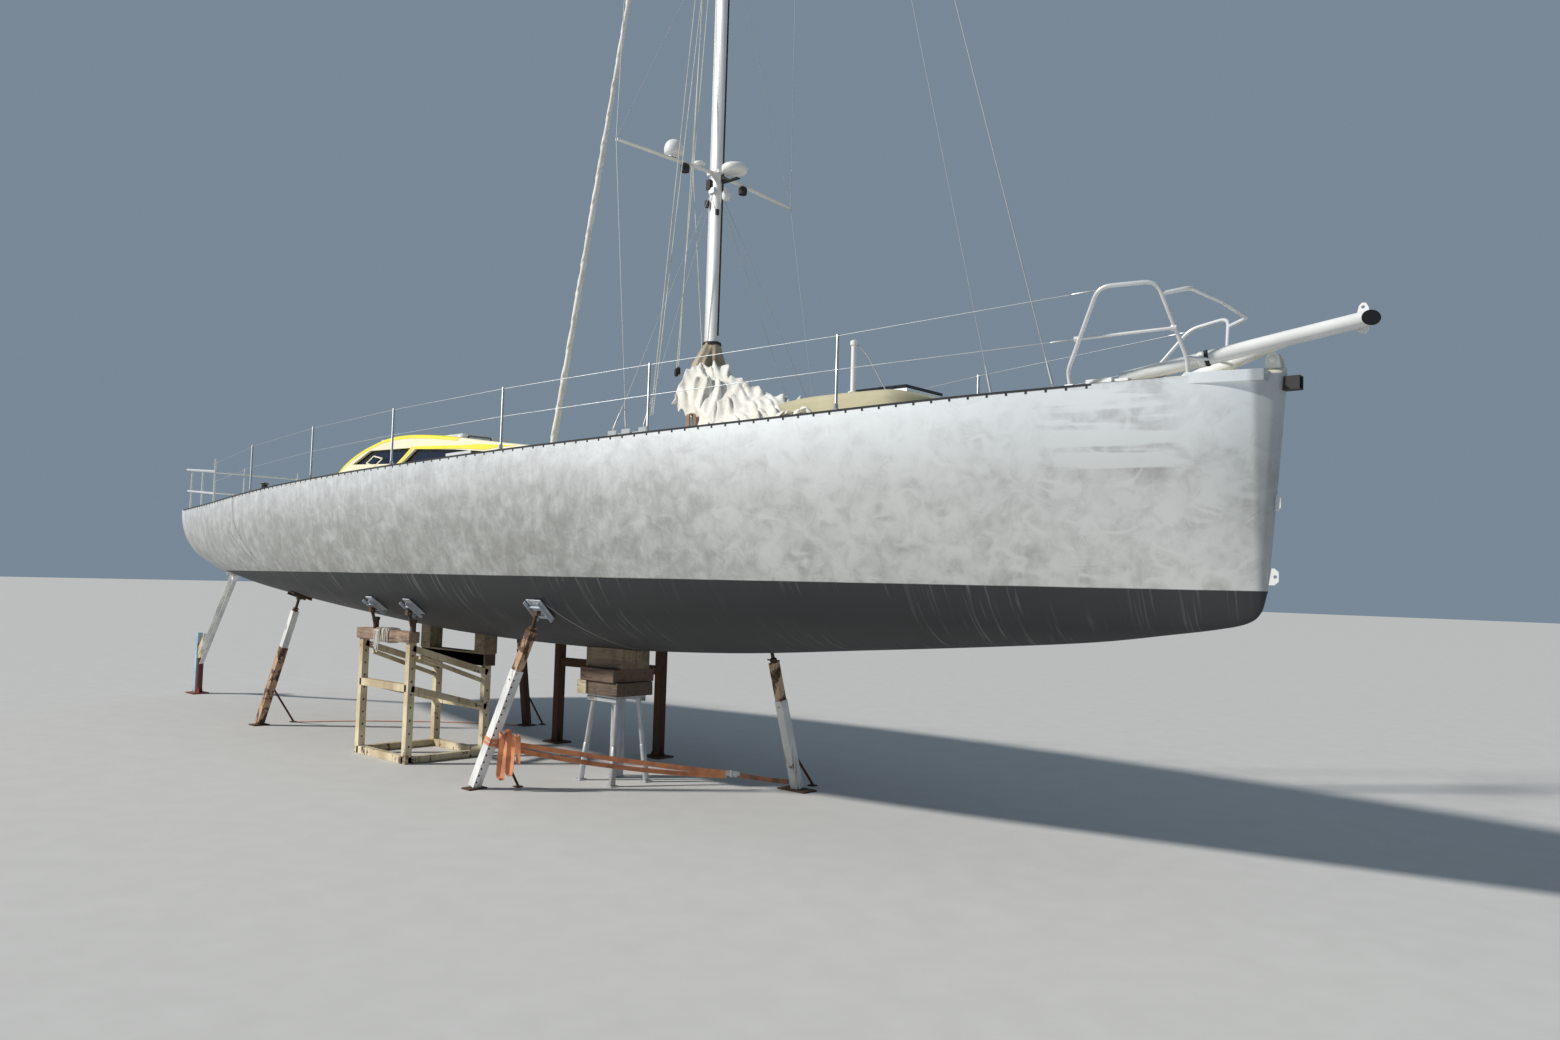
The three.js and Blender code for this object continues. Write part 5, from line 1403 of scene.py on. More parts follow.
# %% Mast sleeve, ties and rope
def sleeve():
    """Rings of folds down the mast, and the same rings a little smaller as the cloth's inside."""
    hoops = []
    for k in range(41):
        t = k / 40
        z = 4.78 - 0.46 * t
        swell = 0.020 + 0.145 * sin(pi * min(1, t * 0.94)) ** 1.3
        hoop = []
        for j in range(72):
            a = 2 * pi * j / 72
            lean = max(0.0, cos(a - 0.75))
            fold = 0.5 + 0.5 * sin(7 * a + 2.5 * t + 1.4 * sin(3 * a)) * cos(2 * a + 3 * t)
            loose = swell * (0.45 + 0.55 * lean) * (0.62 + 0.55 * fold)
            hoop.append(at(MAST + (0.088 + loose) * cos(a), -(0.066 + loose) * sin(a),
                           z - 0.14 * t * lean + 0.012 * sin(5 * a + 9 * t)))
        hoops.append(hoop)
    inner = [[p.lerp(at(MAST, 0, p.z), 0.03) for p in hoop] for hoop in hoops]
    return hollow(hoops + inner[::-1])


coat = piece("mast_canvas_sleeve", [sleeve()], tan_cloth, "mast_sleeve", crease=60)
ties = [tube([at(MAST + r * cos(a), -0.78 * r * sin(a), z + 0.004 * sin(a))
              for a in np.linspace(0, 2 * pi, 25)], 0.005, 8)
        for z, r in ((4.765, 0.110), (4.752, 0.112), (4.775, 0.108))]
piece("sleeve_tie", ties, dark_fitting)

# %% [markdown]
# The low coachroof forward of the mast is one smooth lens with rounded edges. It carries the
# foredeck hatch: a bare coaming and a dark lid on a hinge, the lid a piece that rides on the
# hatch's own body. A white ventilator post and its stay stand beside it.

# %% Coachroof and foredeck hatch
COACH = flowing(np.array([[2.76, 3.885], [2.86, 3.925], [3.02, 3.953], [3.30, 3.963], [3.90, 3.966],
                          [4.30, 3.930], [4.62, 3.860], [4.80, 3.790]]))
COACH_TOP = deck_top(4.18) + 0.19


def coach_ring(aft):
    """A section of the coachroof, with a wide soft corner; it narrows at both ends."""
    top = min(float(COACH(aft)[0]), COACH_TOP)
    half = 0.60 * sin(min(1.0, (aft - 2.70) / 0.35, (4.92 - aft) / 0.55) * pi / 2) ** 0.5
    corner = [(half, 3.40), (half, max(3.42, top - 0.075)), (half - 0.012, top - 0.045),
              (half - 0.045, top - 0.015), (half - 0.10, top - 0.003), (half * 0.5, top)]
    return [at(aft, -y, z) for y, z in corner] + [at(aft, y, z) for y, z in reversed(corner)]


# the coachroof's darker cream is painted shade
piece("coachroof_smooth", [rings([coach_ring(a) for a in np.linspace(2.76, 4.80, 42)])],
      shaded_roof_cream, "coachroof")
hatch_glass = Paint("hatch_glass", Roughness=0.12, Specular_IOR_Level=0.5)
film = hatch_glass.noise(hatch_glass.place(), 6, 4)
hatch_glass.feed(Base_Color=hatch_glass.mix(film, tone(0.012, 0.014, 0.016), tone(0.030, 0.033, 0.035)))
dress(hatch_glass, "hatch_lid", bevel=0.008)
dress(bare_metal, "hatch_coaming", bevel=0.003)
handles = [slab(3.06, 3.09, y - 0.045, y + 0.045, 4.0272, 4.040) for y in (-0.17, 0.17)]
piece("hatch_handles", handles, dark_fitting, body="hatch", bevel=0.003)
POST = at(3.45, -0.50, 0)
POST_FOOT = 3.955
POST_SHAPE = [[0.045, 0], [0.045, 0.010], [0.024, 0.014], [0.024, 0.430], [0.034, 0.434], [0.034, 0.470],
              [0.020, 0.478], [0.0005, 0.48]]
piece("ventilator_post", [turned(POST_SHAPE, POST + UP * POST_FOOT, 20)], white_gloss)
bends = [POST + Vector(spot) for spot in ((0.010, 0, POST_FOOT + 0.455), (0.12, 0.04, 4.30),
                                          (0.30, 0.10, POST_FOOT))]
piece("ventilator_stay", [tube(rounded(bends, 0.08), 0.006, 10)], wire_steel)

# %% [markdown]
# The stands are plain welded steel that has lived outdoors: thick paint, rust where it has
# chipped, and rust that runs down from edges and holes. The mask is noise at two scales with a
# pull towards the ground, and the rust is matt and rough while the paint keeps some gloss.

# %% Worn steel, timber and webbing
def worn(name, pale, dark, rust_share, rough=0.5, galvanised=False):
    """Old paint or zinc in two tones, stained by runs, and bare rust over about its share."""
    paint = Paint(name, Metallic=0.6 if galvanised else 0.0)
    where = paint.place()
    x, y, z = paint.axes(where)
    blotch = paint.noise(where, 5.5, 7, 0.68)
    fine = paint.noise(where, 38, 4, 0.6)
    runs = paint.noise(paint.scaled(where, 22, 22, 2.0), 1.0, 4)
    edge = 0.66 - rust_share * 0.42
    wet = 0.3 - z
    wet = wet.math("MAXIMUM", wet, 0.0)
    rusted = (blotch * 0.6 + fine * 0.15 + runs * 0.25 + wet * 0.10).rise(edge - 0.035, edge + 0.02)
    rust = paint.mix(fine, tone(0.038, 0.020, 0.013), tone(0.135, 0.066, 0.034))
    coat_color = paint.mix(paint.noise(where, 2.4, 5).rise(0.3, 0.7), pale, dark)
    stained = paint.mix(runs.rise(0.5, 0.72) * 0.4, coat_color, tone(0.30, 0.17, 0.08))
    paint.feed(Base_Color=paint.mix(rusted, stained, rust), Roughness=rough + rusted * 0.35)
    return paint.bump(rusted * -0.4 + fine * 0.6 * rusted, 0.0015, 0.6)


cream_steel = worn("worn_cream_steel", tone(0.74, 0.65, 0.45), tone(0.46, 0.36, 0.22), 0.15)
white_steel = worn("worn_white_steel", tone(0.80, 0.80, 0.78), tone(0.56, 0.57, 0.57), 0.10)
grey_steel = worn("worn_grey_steel", tone(0.48, 0.52, 0.58), tone(0.34, 0.37, 0.42), 0.14)
brown_steel = worn("worn_brown_steel", tone(0.58, 0.40, 0.25), tone(0.30, 0.17, 0.10), 0.34)
rust_steel = worn("rusty_steel", tone(0.085, 0.055, 0.040), tone(0.045, 0.030, 0.024), 0.55, rough=0.7)
zinc_steel = worn("galvanised_steel", tone(0.62, 0.64, 0.66), tone(0.42, 0.44, 0.46), 0.03, rough=0.42,
                  galvanised=True)
dark_steel = worn("dark_screw_steel", tone(0.070, 0.058, 0.048), tone(0.036, 0.030, 0.026), 0.40, rough=0.6)
blue_steel = worn("pale_blue_steel", tone(0.42, 0.56, 0.66), tone(0.30, 0.42, 0.52), 0.12)
maroon_steel = worn("maroon_steel", tone(0.14, 0.035, 0.030), tone(0.080, 0.022, 0.020), 0.20)
# painted shade: the walls of the shallow holes cut in the props' tubes are near black, standing for the dark inside
# of a hollow tube
punched = Paint("punched_hole", Roughness=0.9)
hole_shade_noise = punched.noise(punched.place(), 30)
punched.feed(Base_Color=punched.mix(hole_shade_noise, tone(0.012, 0.010, 0.009), tone(0.030, 0.024, 0.020)))


def timber(name, pale, dark, along=(1.2, 14, 14)):
    """Sawn wood: grain stretched along one direction, dark checks, and grime."""
    paint = Paint(name, Roughness=0.85)
    where = paint.place()
    grain = paint.noise(paint.scaled(where, *along), 2.6, 5, 0.65, 0.7)
    check = paint.noise(paint.scaled(where, *(a * 1.8 for a in along)), 2.2, 3, 0.5, 0.3).rise(0.62, 0.70)
    grime = paint.noise(where, 4, 5).rise(0.38, 0.68)
    wood = paint.mix(grain.rise(0.3, 0.7), pale, dark)
    wood = paint.mix(grime * 0.55, wood, tone(0.10, 0.075, 0.055))
    paint.feed(Base_Color=paint.mix(check * 0.8, wood, tone(0.025, 0.018, 0.012)))
    return paint.bump(grain - check * 1.5, 0.004, 0.7)


tan_timber = timber("tan_timber", tone(0.36, 0.29, 0.19), tone(0.22, 0.17, 0.11))
dark_timber = timber("dark_timber", tone(0.17, 0.12, 0.085), tone(0.085, 0.060, 0.045))
red_timber = timber("red_brown_timber", tone(0.21, 0.135, 0.10), tone(0.11, 0.072, 0.055))
beam_timber = timber("painted_beam_timber", tone(0.50, 0.33, 0.23), tone(0.22, 0.15, 0.11))
pale_timber = timber("pale_block_timber", tone(0.58, 0.50, 0.34), tone(0.42, 0.35, 0.22))

webbing = Paint("orange_webbing", Roughness=0.8, Sheen_Weight=0.3)
where = webbing.place()
dirt = webbing.noise(where, 7, 5)
webbing.feed(Base_Color=webbing.mix(dirt.rise(0.4, 0.7), tone(0.80, 0.30, 0.13), tone(0.50, 0.17, 0.08)))
x, y, z = webbing.axes(webbing.scaled(where, 900, 900, 900))
webbing.bump((x + y).math("SINE", x + y) + z.math("SINE", z), 0.0006, 0.5)
brown_webbing = Paint("brown_webbing", Roughness=0.85, Sheen_Weight=0.3)
soil = brown_webbing.noise(brown_webbing.place(), 9, 5)
brown_webbing.feed(Base_Color=brown_webbing.mix(soil.rise(0.35, 0.7), tone(0.40, 0.17, 0.09),
                                                tone(0.17, 0.085, 0.055)))
brown_webbing.bump(soil, 0.0008, 0.5)
print("worn finishes are ready")

# %% [markdown]
# Four props lean in under the hull. Each is a square outer tube on a base plate, an inner tube
# pinned in it, a screw with a collar, and a steel channel with turned-down lips that bears on
# the plating. The parts have different paints, so each prop is four pieces made by one function.

# %% Props
def screw_bar(start, end, radius, turns):
    """A screw: a bar whose radius goes up and down once a turn."""
    count = max(8, turns * 4)
    path = [Vector(start).lerp(Vector(end), k / count) for k in range(count + 1)]
    return tube(path, [radius * (0.84 if k % 4 in (0, 1) else 1.0) for k in range(count + 1)], 14)


def bearing_pad(aft, y, long, wide, thick=0.034):
    """A channel against the hull: a plate, two lips turned down and two stiffeners."""
    z, normal = under(aft, y)
    seat = at(aft, y, z)
    along = Vector((1, 0, 0))
    across = normal.cross(along).normalized()
    axes = (along, across, normal)
    shapes = [block(seat + normal * 0.010, (long, wide, 0.014), axes)]
    for k in (-1, 1):
        lip = seat + normal * (thick - 0.008) + along * k * (long / 2 - 0.006)
        rib = seat + normal * (thick - 0.012) + across * k * wide * 0.22
        shapes += [block(lip, (0.012, wide, 0.034), axes), block(rib, (long * 0.92, 0.012, 0.024), axes)]
    return shapes, seat + normal * thick, normal


def prop(name, foot_at, head_at, joint, base, brace, finishes, pad=(0.20, 0.28), punch=False):
    """One prop: joint is how far up the outer tube ends, brace where its diagonal stands."""
    lower_paint, upper_paint, pad_paint = finishes
    ground = at(foot_at[0], foot_at[1], 0.026)
    z, normal = under(*head_at)
    seat = at(head_at[0], head_at[1], z) + normal * 0.028
    along = seat - ground
    way = along.normalized()
    knee = ground.lerp(seat, 0.30)
    middle, top = ground.lerp(seat, joint), ground.lerp(seat, 0.885)
    foot_aft, foot_y = foot_at
    toe_aft, toe_y = foot_aft + brace[0], foot_y + brace[1]
    outer = [beam(ground, middle, 0.096, 0.100)]
    outer += [beam(ground + Vector((k * 0.06, 0, 0)), ground.lerp(middle, 0.10), 0.010, 0.07) for k in (-1, 1)]
    tube_piece = piece(name + "_tube", outer, lower_paint, name)
    if punch:
        # the holes are shallow pockets whose near-black walls are painted shade
        holes = []
        for k in range(int((middle - ground).length / 0.075)):
            spot = ground + way * (0.05 + 0.075 * k)
            holes.append(tube([spot + Vector((0.035, -0.028, 0)), spot + Vector((0.075, -0.028, 0))], 0.011, 10))
        cut(tube_piece, [merge(holes)], punched)
    plates = [slab(foot_aft - base / 2, foot_aft + base / 2, foot_y - 0.11, foot_y + 0.11, 0, 0.014),
              slab(toe_aft - 0.04, toe_aft + 0.04, toe_y - 0.04, toe_y + 0.04, 0, 0.012)]
    brace_bar = tube([at(toe_aft, toe_y, 0.016), knee], 0.014, 10)
    piece(name + "_base", plates + [brace_bar], rust_steel, bevel=0.002)
    pin = tube([ground.lerp(seat, joint - 0.05) + Vector((0, k, 0)) for k in (-0.062, 0.062)], 0.008, 10)
    piece(name + "_inner", [beam(middle - along * 0.05, top, 0.086, 0.088), pin], upper_paint, bevel=0.005)
    shapes, under_pad, normal = bearing_pad(*head_at, *pad)
    screw = [screw_bar(top, under_pad + normal * 0.01, 0.021, 14),
             collar(top, way, 0, 0.048, 0.008, 0.030, 0.038, 16),
             tube([top + way * 0.024 + Vector((k, 0, 0)) for k in (-0.085, 0.085)], 0.008, 10),
             block(under_pad + normal * 0.014, (0.07, 0.05, 0.05)),
             tube([under_pad + normal * 0.02 + Vector((k, 0, 0)) for k in (-0.05, 0.05)], 0.012, 12)]
    piece(name + "_screw", screw, dark_steel)
    piece(name + "_pad", shapes, pad_paint, bevel=0.003)


NEAR_FOOT, NEAR_HEAD = (7.430, -1.640), (6.890, -1.290)
prop("prop_near_mid", NEAR_FOOT, NEAR_HEAD, 0.66, 0.150, (-0.200, 0.400),
     (white_steel, brown_steel, grey_steel), pad=(0.25, 0.27, 0.055), punch=True)
prop("prop_far_fore", (5.240, 0.960), (5.330, 0.560), 0.62, 0.380, (0.060, 0.330),
     (white_steel, brown_steel, rust_steel))
prop("prop_near_aft", (13.360, -1.310), (12.860, -1.050), 0.60, 0.190, (0.052, 0.508),
     (brown_steel, white_steel, dark_steel))
prop("prop_far_aft", (11.220, 1.700), (11.050, 1.330), 0.62, 0.200, (-0.060, 0.240),
     (rust_steel, brown_steel, rust_steel))

# %% [markdown]
# The stern prop is another kind: an open channel leans in from a foot with a short sleeve and a
# post, and its head is a plain pad. A gusset joins the post to the channel.

# %% Stern prop
stern_z, stern_normal = under(16.330, -0.540)
stern_seat = at(16.330, -0.540, stern_z)
channel_foot = at(17.860, -0.430, 0.560)
channel_way = (stern_seat - channel_foot).normalized()
channel_across = Vector((0, 1, 0)).cross(channel_way).normalized()
web_end = stern_seat - channel_way * 0.06
flanges = [beam(channel_foot + channel_across * k * 0.070, web_end + channel_across * k * 0.070, 0.010, 0.070)
           for k in (-1, 1)]
web = beam(channel_foot + Vector((0, 0.030, 0)), web_end + Vector((0, 0.030, 0)), 0.150, 0.010)
piece("stern_prop_channel", [web] + flanges, white_steel, "prop_stern", bevel=0.003)
pad_shapes = bearing_pad(16.330, -0.540, 0.20, 0.20, 0.040)[0]
head = beam(web_end - channel_way * 0.05, stern_seat - channel_way * 0.005, 0.155, 0.080)
piece("stern_prop_head", pad_shapes + [head], white_gloss, bevel=0.004)
piece("stern_prop_post", [slab(17.905, 17.995, -0.475, -0.385, 0.02, 1.05)], blue_steel, bevel=0.006)
gusset = prism([(17.90, 0.62), (17.80, 0.62), (17.66, 1.05), (17.90, 0.80)], -0.462, -0.398)
piece("stern_prop_gusset", [gusset], cream_steel, bevel=0.003)
piece("stern_prop_sleeve", [collar(at(17.845, -0.43, 0), UP, 0.02, 0.584, 0.004, 0.046, 0.052, 20)],
      maroon_steel)
red_steel = worn("red_steel", tone(0.34, 0.045, 0.035), tone(0.20, 0.030, 0.025), 0.25)
foot_shapes = [slab(17.74, 18.06, -0.57, -0.29, 0, 0.020)]
foot_shapes += [prism([(near, 0.02), (far, 0.02), (near, 0.14)], y - 0.005, y + 0.005)
                for near, far in ((17.98, 18.05), (17.81, 17.75)) for y in (-0.46, -0.40)]
piece("stern_prop_foot", foot_shapes, red_steel, bevel=0.003)

# %% [markdown]
# The steel frame has hollow square posts with rows of pin holes, rails that were welded between
# them at three levels, a timber across the near side and screw jacks that carry two bearing
# pads. The holes are cut through the posts, so light shows in them from any side.

# %% Steel frame
FORE, AFT, NEAR, FAR, BAR = 9.22, 10.32, -1.40, -0.37, 0.086
NEAR_TOP, FAR_TOP = 1.40, 1.10


def hollow_post(aft, y, top):
    """A square tube with walls of 5 mm, open at both ends."""
    half, inner = BAR / 2, BAR / 2 - 0.005
    return hollow([[at(aft + a, y + b, z) for a, b in ((-k, -k), (k, -k), (k, k), (-k, k))]
                   for z, k in ((0, half), (top, half), (top, inner), (0, inner))])


posts = [(aft, y, top) for aft in (FORE, AFT) for y, top in ((NEAR, NEAR_TOP), (FAR, FAR_TOP))]
frame_posts = piece("steel_frame_posts", [hollow_post(*post) for post in posts], cream_steel,
                    "cradle_frame")
holes = [tube([at(aft - 0.06, y, z), at(aft + 0.06, y, z)], 0.012, 12)
         for aft, y, top in posts for z in np.arange(0.20, top - 0.15, 0.15)]
cut(frame_posts, [merge(holes)], rust_steel)
levels = [(NEAR_TOP - 0.06, FAR_TOP - 0.08), (0.87, 0.60), (BAR / 2, BAR / 2)]
rails = [beam(at(aft, NEAR, near), at(aft, FAR, far), BAR * 0.86, BAR, (1, 0, 0))
         for aft in (FORE, AFT) for near, far in levels]
rails += [slab(FORE, AFT, y - BAR / 2, y + BAR / 2, z - BAR / 2, z + BAR / 2)
          for y, z in ((NEAR, 0.87), (FAR, 0.60), (NEAR, BAR / 2), (FAR, BAR / 2))]
rails += [beam(at(aft, NEAR + 0.12, NEAR_TOP - 0.17), at(aft, FAR, FAR_TOP - 0.20), 0.050, 0.050, (1, 0, 0))
          for aft in (FORE, AFT)]
welds = [tube([at(aft + k * 0.037, y + j * 0.036, z - 0.036) for j in (-1, 1)], 0.006, 8)
         for aft in (FORE, AFT) for y, z in ((NEAR, 0.87), (FAR, 0.60)) for k in (-1, 1)]
piece("steel_frame_rails", rails + welds, cream_steel, bevel=0.006)


def jack(aft, y, floor):
    """A screw jack: its pad's shapes, and the screw with the socket, nut and knuckle."""
    shapes, below, normal = bearing_pad(aft, y, 0.15, 0.27, 0.075)
    screw = screw_bar(at(aft, y, floor), below + normal * 0.03, 0.022, 12)
    body = [tube([at(aft, y, floor - 0.04), at(aft, y, floor + 0.10)], 0.034, 16),
            collar(at(aft, y, floor), UP, 0.10, 0.041, 0.006, 0.034, 0.046, 6),
            block(below + normal * 0.03, (0.060, 0.060, 0.06)),
            tube([below + normal * 0.045 + Vector((k, 0, 0)) for k in (-0.055, 0.055)], 0.013, 12)]
    return shapes, [screw] + body


near_jacks = [jack(aft, NEAR, NEAR_TOP + 0.13) for aft in (9.20, 10.06)]
piece("jack_pads", [shape for pads, _ in near_jacks for shape in pads], grey_steel, bevel=0.003)
piece("jack_screws", [shape for _, screws in near_jacks for shape in screws], dark_steel)
piece("near_timber", [slab(9.16, 10.40, NEAR - 0.07, NEAR + 0.07, NEAR_TOP + 0.0004, NEAR_TOP + 0.130)],
      beam_timber, "cradle_beam", bevel=0.008)
piece("far_timber", [slab(9.15, 10.60, FAR - 0.08, FAR + 0.08, FAR_TOP + 0.0004, 1.250)],
      dark_timber, bevel=0.008)
dress(tan_timber, "cradle_blocks", bevel=0.006)

# %% [markdown]
# Amidships a galvanised trestle takes the weight through a stack of baulks: four leaning round
# legs under a top plate, and a rectangular column down the middle. The baulks are sawn timber
# with rough arrises, and the top one is two pieces side by side.

# %% Trestle and baulks
TRESTLE, TRESTLE_Y, TRESTLE_TOP = 6.90, -0.22, 0.95


def leg_path(side, end):
    """Foot and head of one of the four leaning legs."""
    low = at(TRESTLE + end * 0.270, TRESTLE_Y + side * 0.240, 0.012)
    high = at(TRESTLE + end * 0.190, TRESTLE_Y + side * 0.150, TRESTLE_TOP - 0.010)
    return low, high


corners = [(side, end) for side in (-1, 1) for end in (-1, 1)]
legs = [leg_path(*corner) for corner in corners]
trestle = [tube(leg, 0.029, 20) for leg in legs]
trestle += [tube([low.lerp(high, t) for t in (0.0, 0.01, 0.42, 0.43)], [0.029, 0.034, 0.034, 0.029], 20)
            for low, high in legs]
trestle += [slab(TRESTLE + e * 0.27 - 0.05, TRESTLE + e * 0.27 + 0.05,
                 TRESTLE_Y + s * 0.24 - 0.05, TRESTLE_Y + s * 0.24 + 0.05, 0, 0.012) for s, e in corners]
# the top plate, its doubler and the two lips under its sides
for y, half_wide, low, high in ((TRESTLE_Y, 0.21, 0.030, 0.022), (TRESTLE_Y - 0.206, 0.004, 0.070, 0.022),
                                (TRESTLE_Y + 0.206, 0.004, 0.070, 0.022), (TRESTLE_Y, 0.21, 0.022, 0)):
    trestle.append(slab(TRESTLE - 0.25, TRESTLE + 0.25, y - half_wide, y + half_wide,
                        TRESTLE_TOP - low, TRESTLE_TOP - high))
piece("trestle_legs", trestle, zinc_steel, "trestle", bevel=0.002)
piece("trestle_column", [slab(7.012, 7.085, -0.135, 0.015, 0.012, TRESTLE_TOP - 0.03),
                         slab(7.004, 7.105, -0.150, 0.030, 0, 0.012)], zinc_steel, bevel=0.006)


def baulk(z0, z1, half_long, y0, y1, seed):
    """A sawn baulk whose corners are each a few millimetres out."""
    points, faces = slab(TRESTLE - half_long, TRESTLE + half_long, TRESTLE_Y + y0, TRESTLE_Y + y1, z0, z1)
    rng = random.Random(seed)
    return [p + Vector([rng.uniform(-0.005, 0.005) for _ in "xy"] + [0]) for p in points], faces


def fitted_baulk(y0, y1):
    """A baulk whose top is planed to lie under the hull."""
    outline = [(TRESTLE + a, TRESTLE_Y + y) for a, y in ((-0.31, y0), (0.31, y0), (0.31, y1), (-0.31, y1))]
    return rings([[at(a, y, 1.246) for a, y in outline],
                  [at(a, y, under(a, y)[0] - 0.003) for a, y in outline]])


low_baulks = [baulk(0.951, 1.100, 0.315, -0.262, 0.0, 1), baulk(0.951, 1.100, 0.30, 0.005, 0.262, 2)]
piece("baulk_low", low_baulks, dark_timber, "timber_stack", bevel=0.007)
piece("baulk_middle", [baulk(1.101, 1.245, 0.282, -0.292, 0.292, 3)], red_timber, bevel=0.007)
piece("baulk_top", [fitted_baulk(-0.195, -0.003), fitted_baulk(0.003, 0.195)], tan_timber,
      bevel=0.006)
piece("baulk_wedge", [slab(7.085, 7.245, TRESTLE_Y - 0.285, TRESTLE_Y - 0.12, 0.951, 1.096)],
      pale_timber, bevel=0.005)

# %% [markdown]
# Two orange ratchet straps tie the near prop to the far one, and the spare webbing hangs beside
# it in loops. Webbing is flat, woven and stiff across its width, so each run is a band that
# follows a path and keeps its width turned to one side. The loops are one long band, folded.

# %% Straps
def ribbon(path, wide, thick, leans):
    """A flat band along a path; leans gives, for each point, the way that its width lies."""
    hoops = []
    for i, here in enumerate(path):
        ahead = (path[min(i + 1, len(path) - 1)] - path[max(i - 1, 0)]).normalized()
        lean = leans[i]
        across = (lean - ahead * lean.dot(ahead)).normalized() * wide / 2
        out = ahead.cross(across).normalized() * thick / 2
        hoops.append([here - across - out, here + across - out, here + across + out, here - across + out])
    return rings(hoops)


def on_prop(height):
    """The middle of the near prop's tube at a height."""
    low, (z, normal) = at(*NEAR_FOOT, 0.026), under(*NEAR_HEAD)
    seat = at(*NEAR_HEAD, z) + normal * 0.028
    return low.lerp(seat, (height - low.z) / (seat.z - low.z))


def taut(start, end, sag, turned_by, steps=28):
    """A strap's path with its sag, and leans that turn it flat in the middle."""
    path, leans = [], []
    for k in range(steps + 1):
        t = k / steps
        path.append(start.lerp(end, t) - Vector((0, 0, sag * 4 * t * (1 - t))))
        angle = turned_by * min(1.0, 3 * t * (1 - t) * 1.3)
        leans.append(Vector((0.35 * sin(angle), 0.9 * sin(angle), cos(angle))))
    return path, leans


FAR_FOOT = at(5.31, 0.900, 0.085)
RATCHET = 0.78
upper_start, lower_start = on_prop(0.50) + Vector((0.060, 0.050, 0)), on_prop(0.45) + Vector((0.065, 0.055, 0))
ratchet = upper_start.lerp(FAR_FOOT, RATCHET)
upper_path, upper_leans = taut(upper_start, ratchet, 0.018, 0.25)
lower_path, lower_leans = taut(lower_start, ratchet + Vector((0, 0, -0.03)), 0.055, 1.25)
post_way = (on_prop(0.55) - on_prop(0.45)).normalized()
wraps = [beam(on_prop(h), on_prop(h) + post_way * 0.036, 0.103, 0.107) for h in (0.462, 0.505)]
bands = [ribbon(upper_path, 0.052, 0.004, upper_leans), ribbon(lower_path, 0.050, 0.004, lower_leans)]
piece("orange_straps", bands + wraps, webbing, "lashing_strap")
tail_path, tail_leans = taut(ratchet + (FAR_FOOT - ratchet).normalized() * 0.10, FAR_FOOT, 0.01, 0.2, 10)
piece("brown_strap", [ribbon(tail_path, 0.050, 0.004, tail_leans)], brown_webbing)
run = (FAR_FOOT - upper_start).normalized()
flat_axes = (run, run.cross(UP).normalized(), UP)
spool, pivot = ratchet + run * 0.05, ratchet + run * 0.10
piece("strap_ratchet", [block(spool, (0.13, 0.006, 0.056), flat_axes),
                        tube([spool + UP * k for k in (-0.035, 0.035)], 0.016, 14),
                        tube([pivot + UP * k for k in (-0.034, 0.034)], 0.009, 12),
                        block(pivot + Vector((-0.010, -0.015, 0.012)), (0.12, 0.012, 0.046), flat_axes)],
      zinc_steel, bevel=0.002)


LOOPS = [(0.00, 0.00, 0.05), (-0.050, 0.01, -0.20), (-0.075, 0.02, -0.40), (-0.020, 0.025, -0.435),
         (0.005, 0.03, -0.20), (0.025, 0.03, 0.07), (0.060, 0.045, 0.09), (0.050, 0.055, -0.15),
         (0.020, 0.065, -0.36), (0.065, 0.075, -0.37), (0.090, 0.075, -0.12), (0.100, 0.080, 0.04),
         (0.140, 0.095, 0.03), (0.135, 0.105, -0.14), (0.125, 0.115, -0.25)]


def hanging_loops():
    """One band that goes up and down in loops from the knot beside the prop."""
    knot = on_prop(0.52) + Vector((0.150, 0.030, 0.02))
    corners = [knot + Vector(spot) for spot in LOOPS]
    path = rounded(corners, 0.06, 4)
    leans = [Vector((0.80, 0.60 + 0.5 * sin(i * 0.25), 0.1)) for i in range(len(path))]
    return path, leans


loop_path, loop_leans = hanging_loops()
loop_length = sum((b - a).length for a, b in zip(loop_path, loop_path[1:]))
loops = piece("hanging_webbing", [ribbon(loop_path, 0.050, 0.0035, loop_leans)], webbing,
              crease=50)
knot_at = on_prop(0.52) + Vector((0.150, 0.030, 0.055))
knot_path = [knot_at + Vector((0.03 * cos(a), 0.035 * sin(a), 0.012 * sin(2 * a)))
             for a in np.linspace(0, 2 * pi, 19)]
piece("webbing_knot", [ribbon(knot_path, 0.045, 0.004, [UP] * 19)], webbing, crease=50)
GROUND = [(13.40, -0.84, 0.007), (13.02, -0.04, 0.007), (12.20, 0.95, 0.005), (11.26, 1.62, 0.007)]
ground_path = rounded([at(*spot) for spot in GROUND], 0.5, 12)
piece("ground_strap", [ribbon(ground_path, 0.048, 0.004, [Vector((0.9, 0.43, 0))] * len(ground_path))],
      webbing)
print("spare webbing", round(loop_length, 2), "m")

# %% [markdown]
# Each turn of rope is a closed ring that lies round a timber or over a cleat, a little out of
# line with the next, so the turns look laid by hand; the fine bump of the weave stands for its
# strands. The halyards run down the mast, and two of them pass through a block on their way.

# %% Rope turns
rope_white = woven("rope_white", tone(0.72, 0.70, 0.62), tone(0.44, 0.42, 0.36), threads=700)
rope_brown = woven("rope_brown", tone(0.30, 0.20, 0.13), tone(0.15, 0.095, 0.065), threads=700)


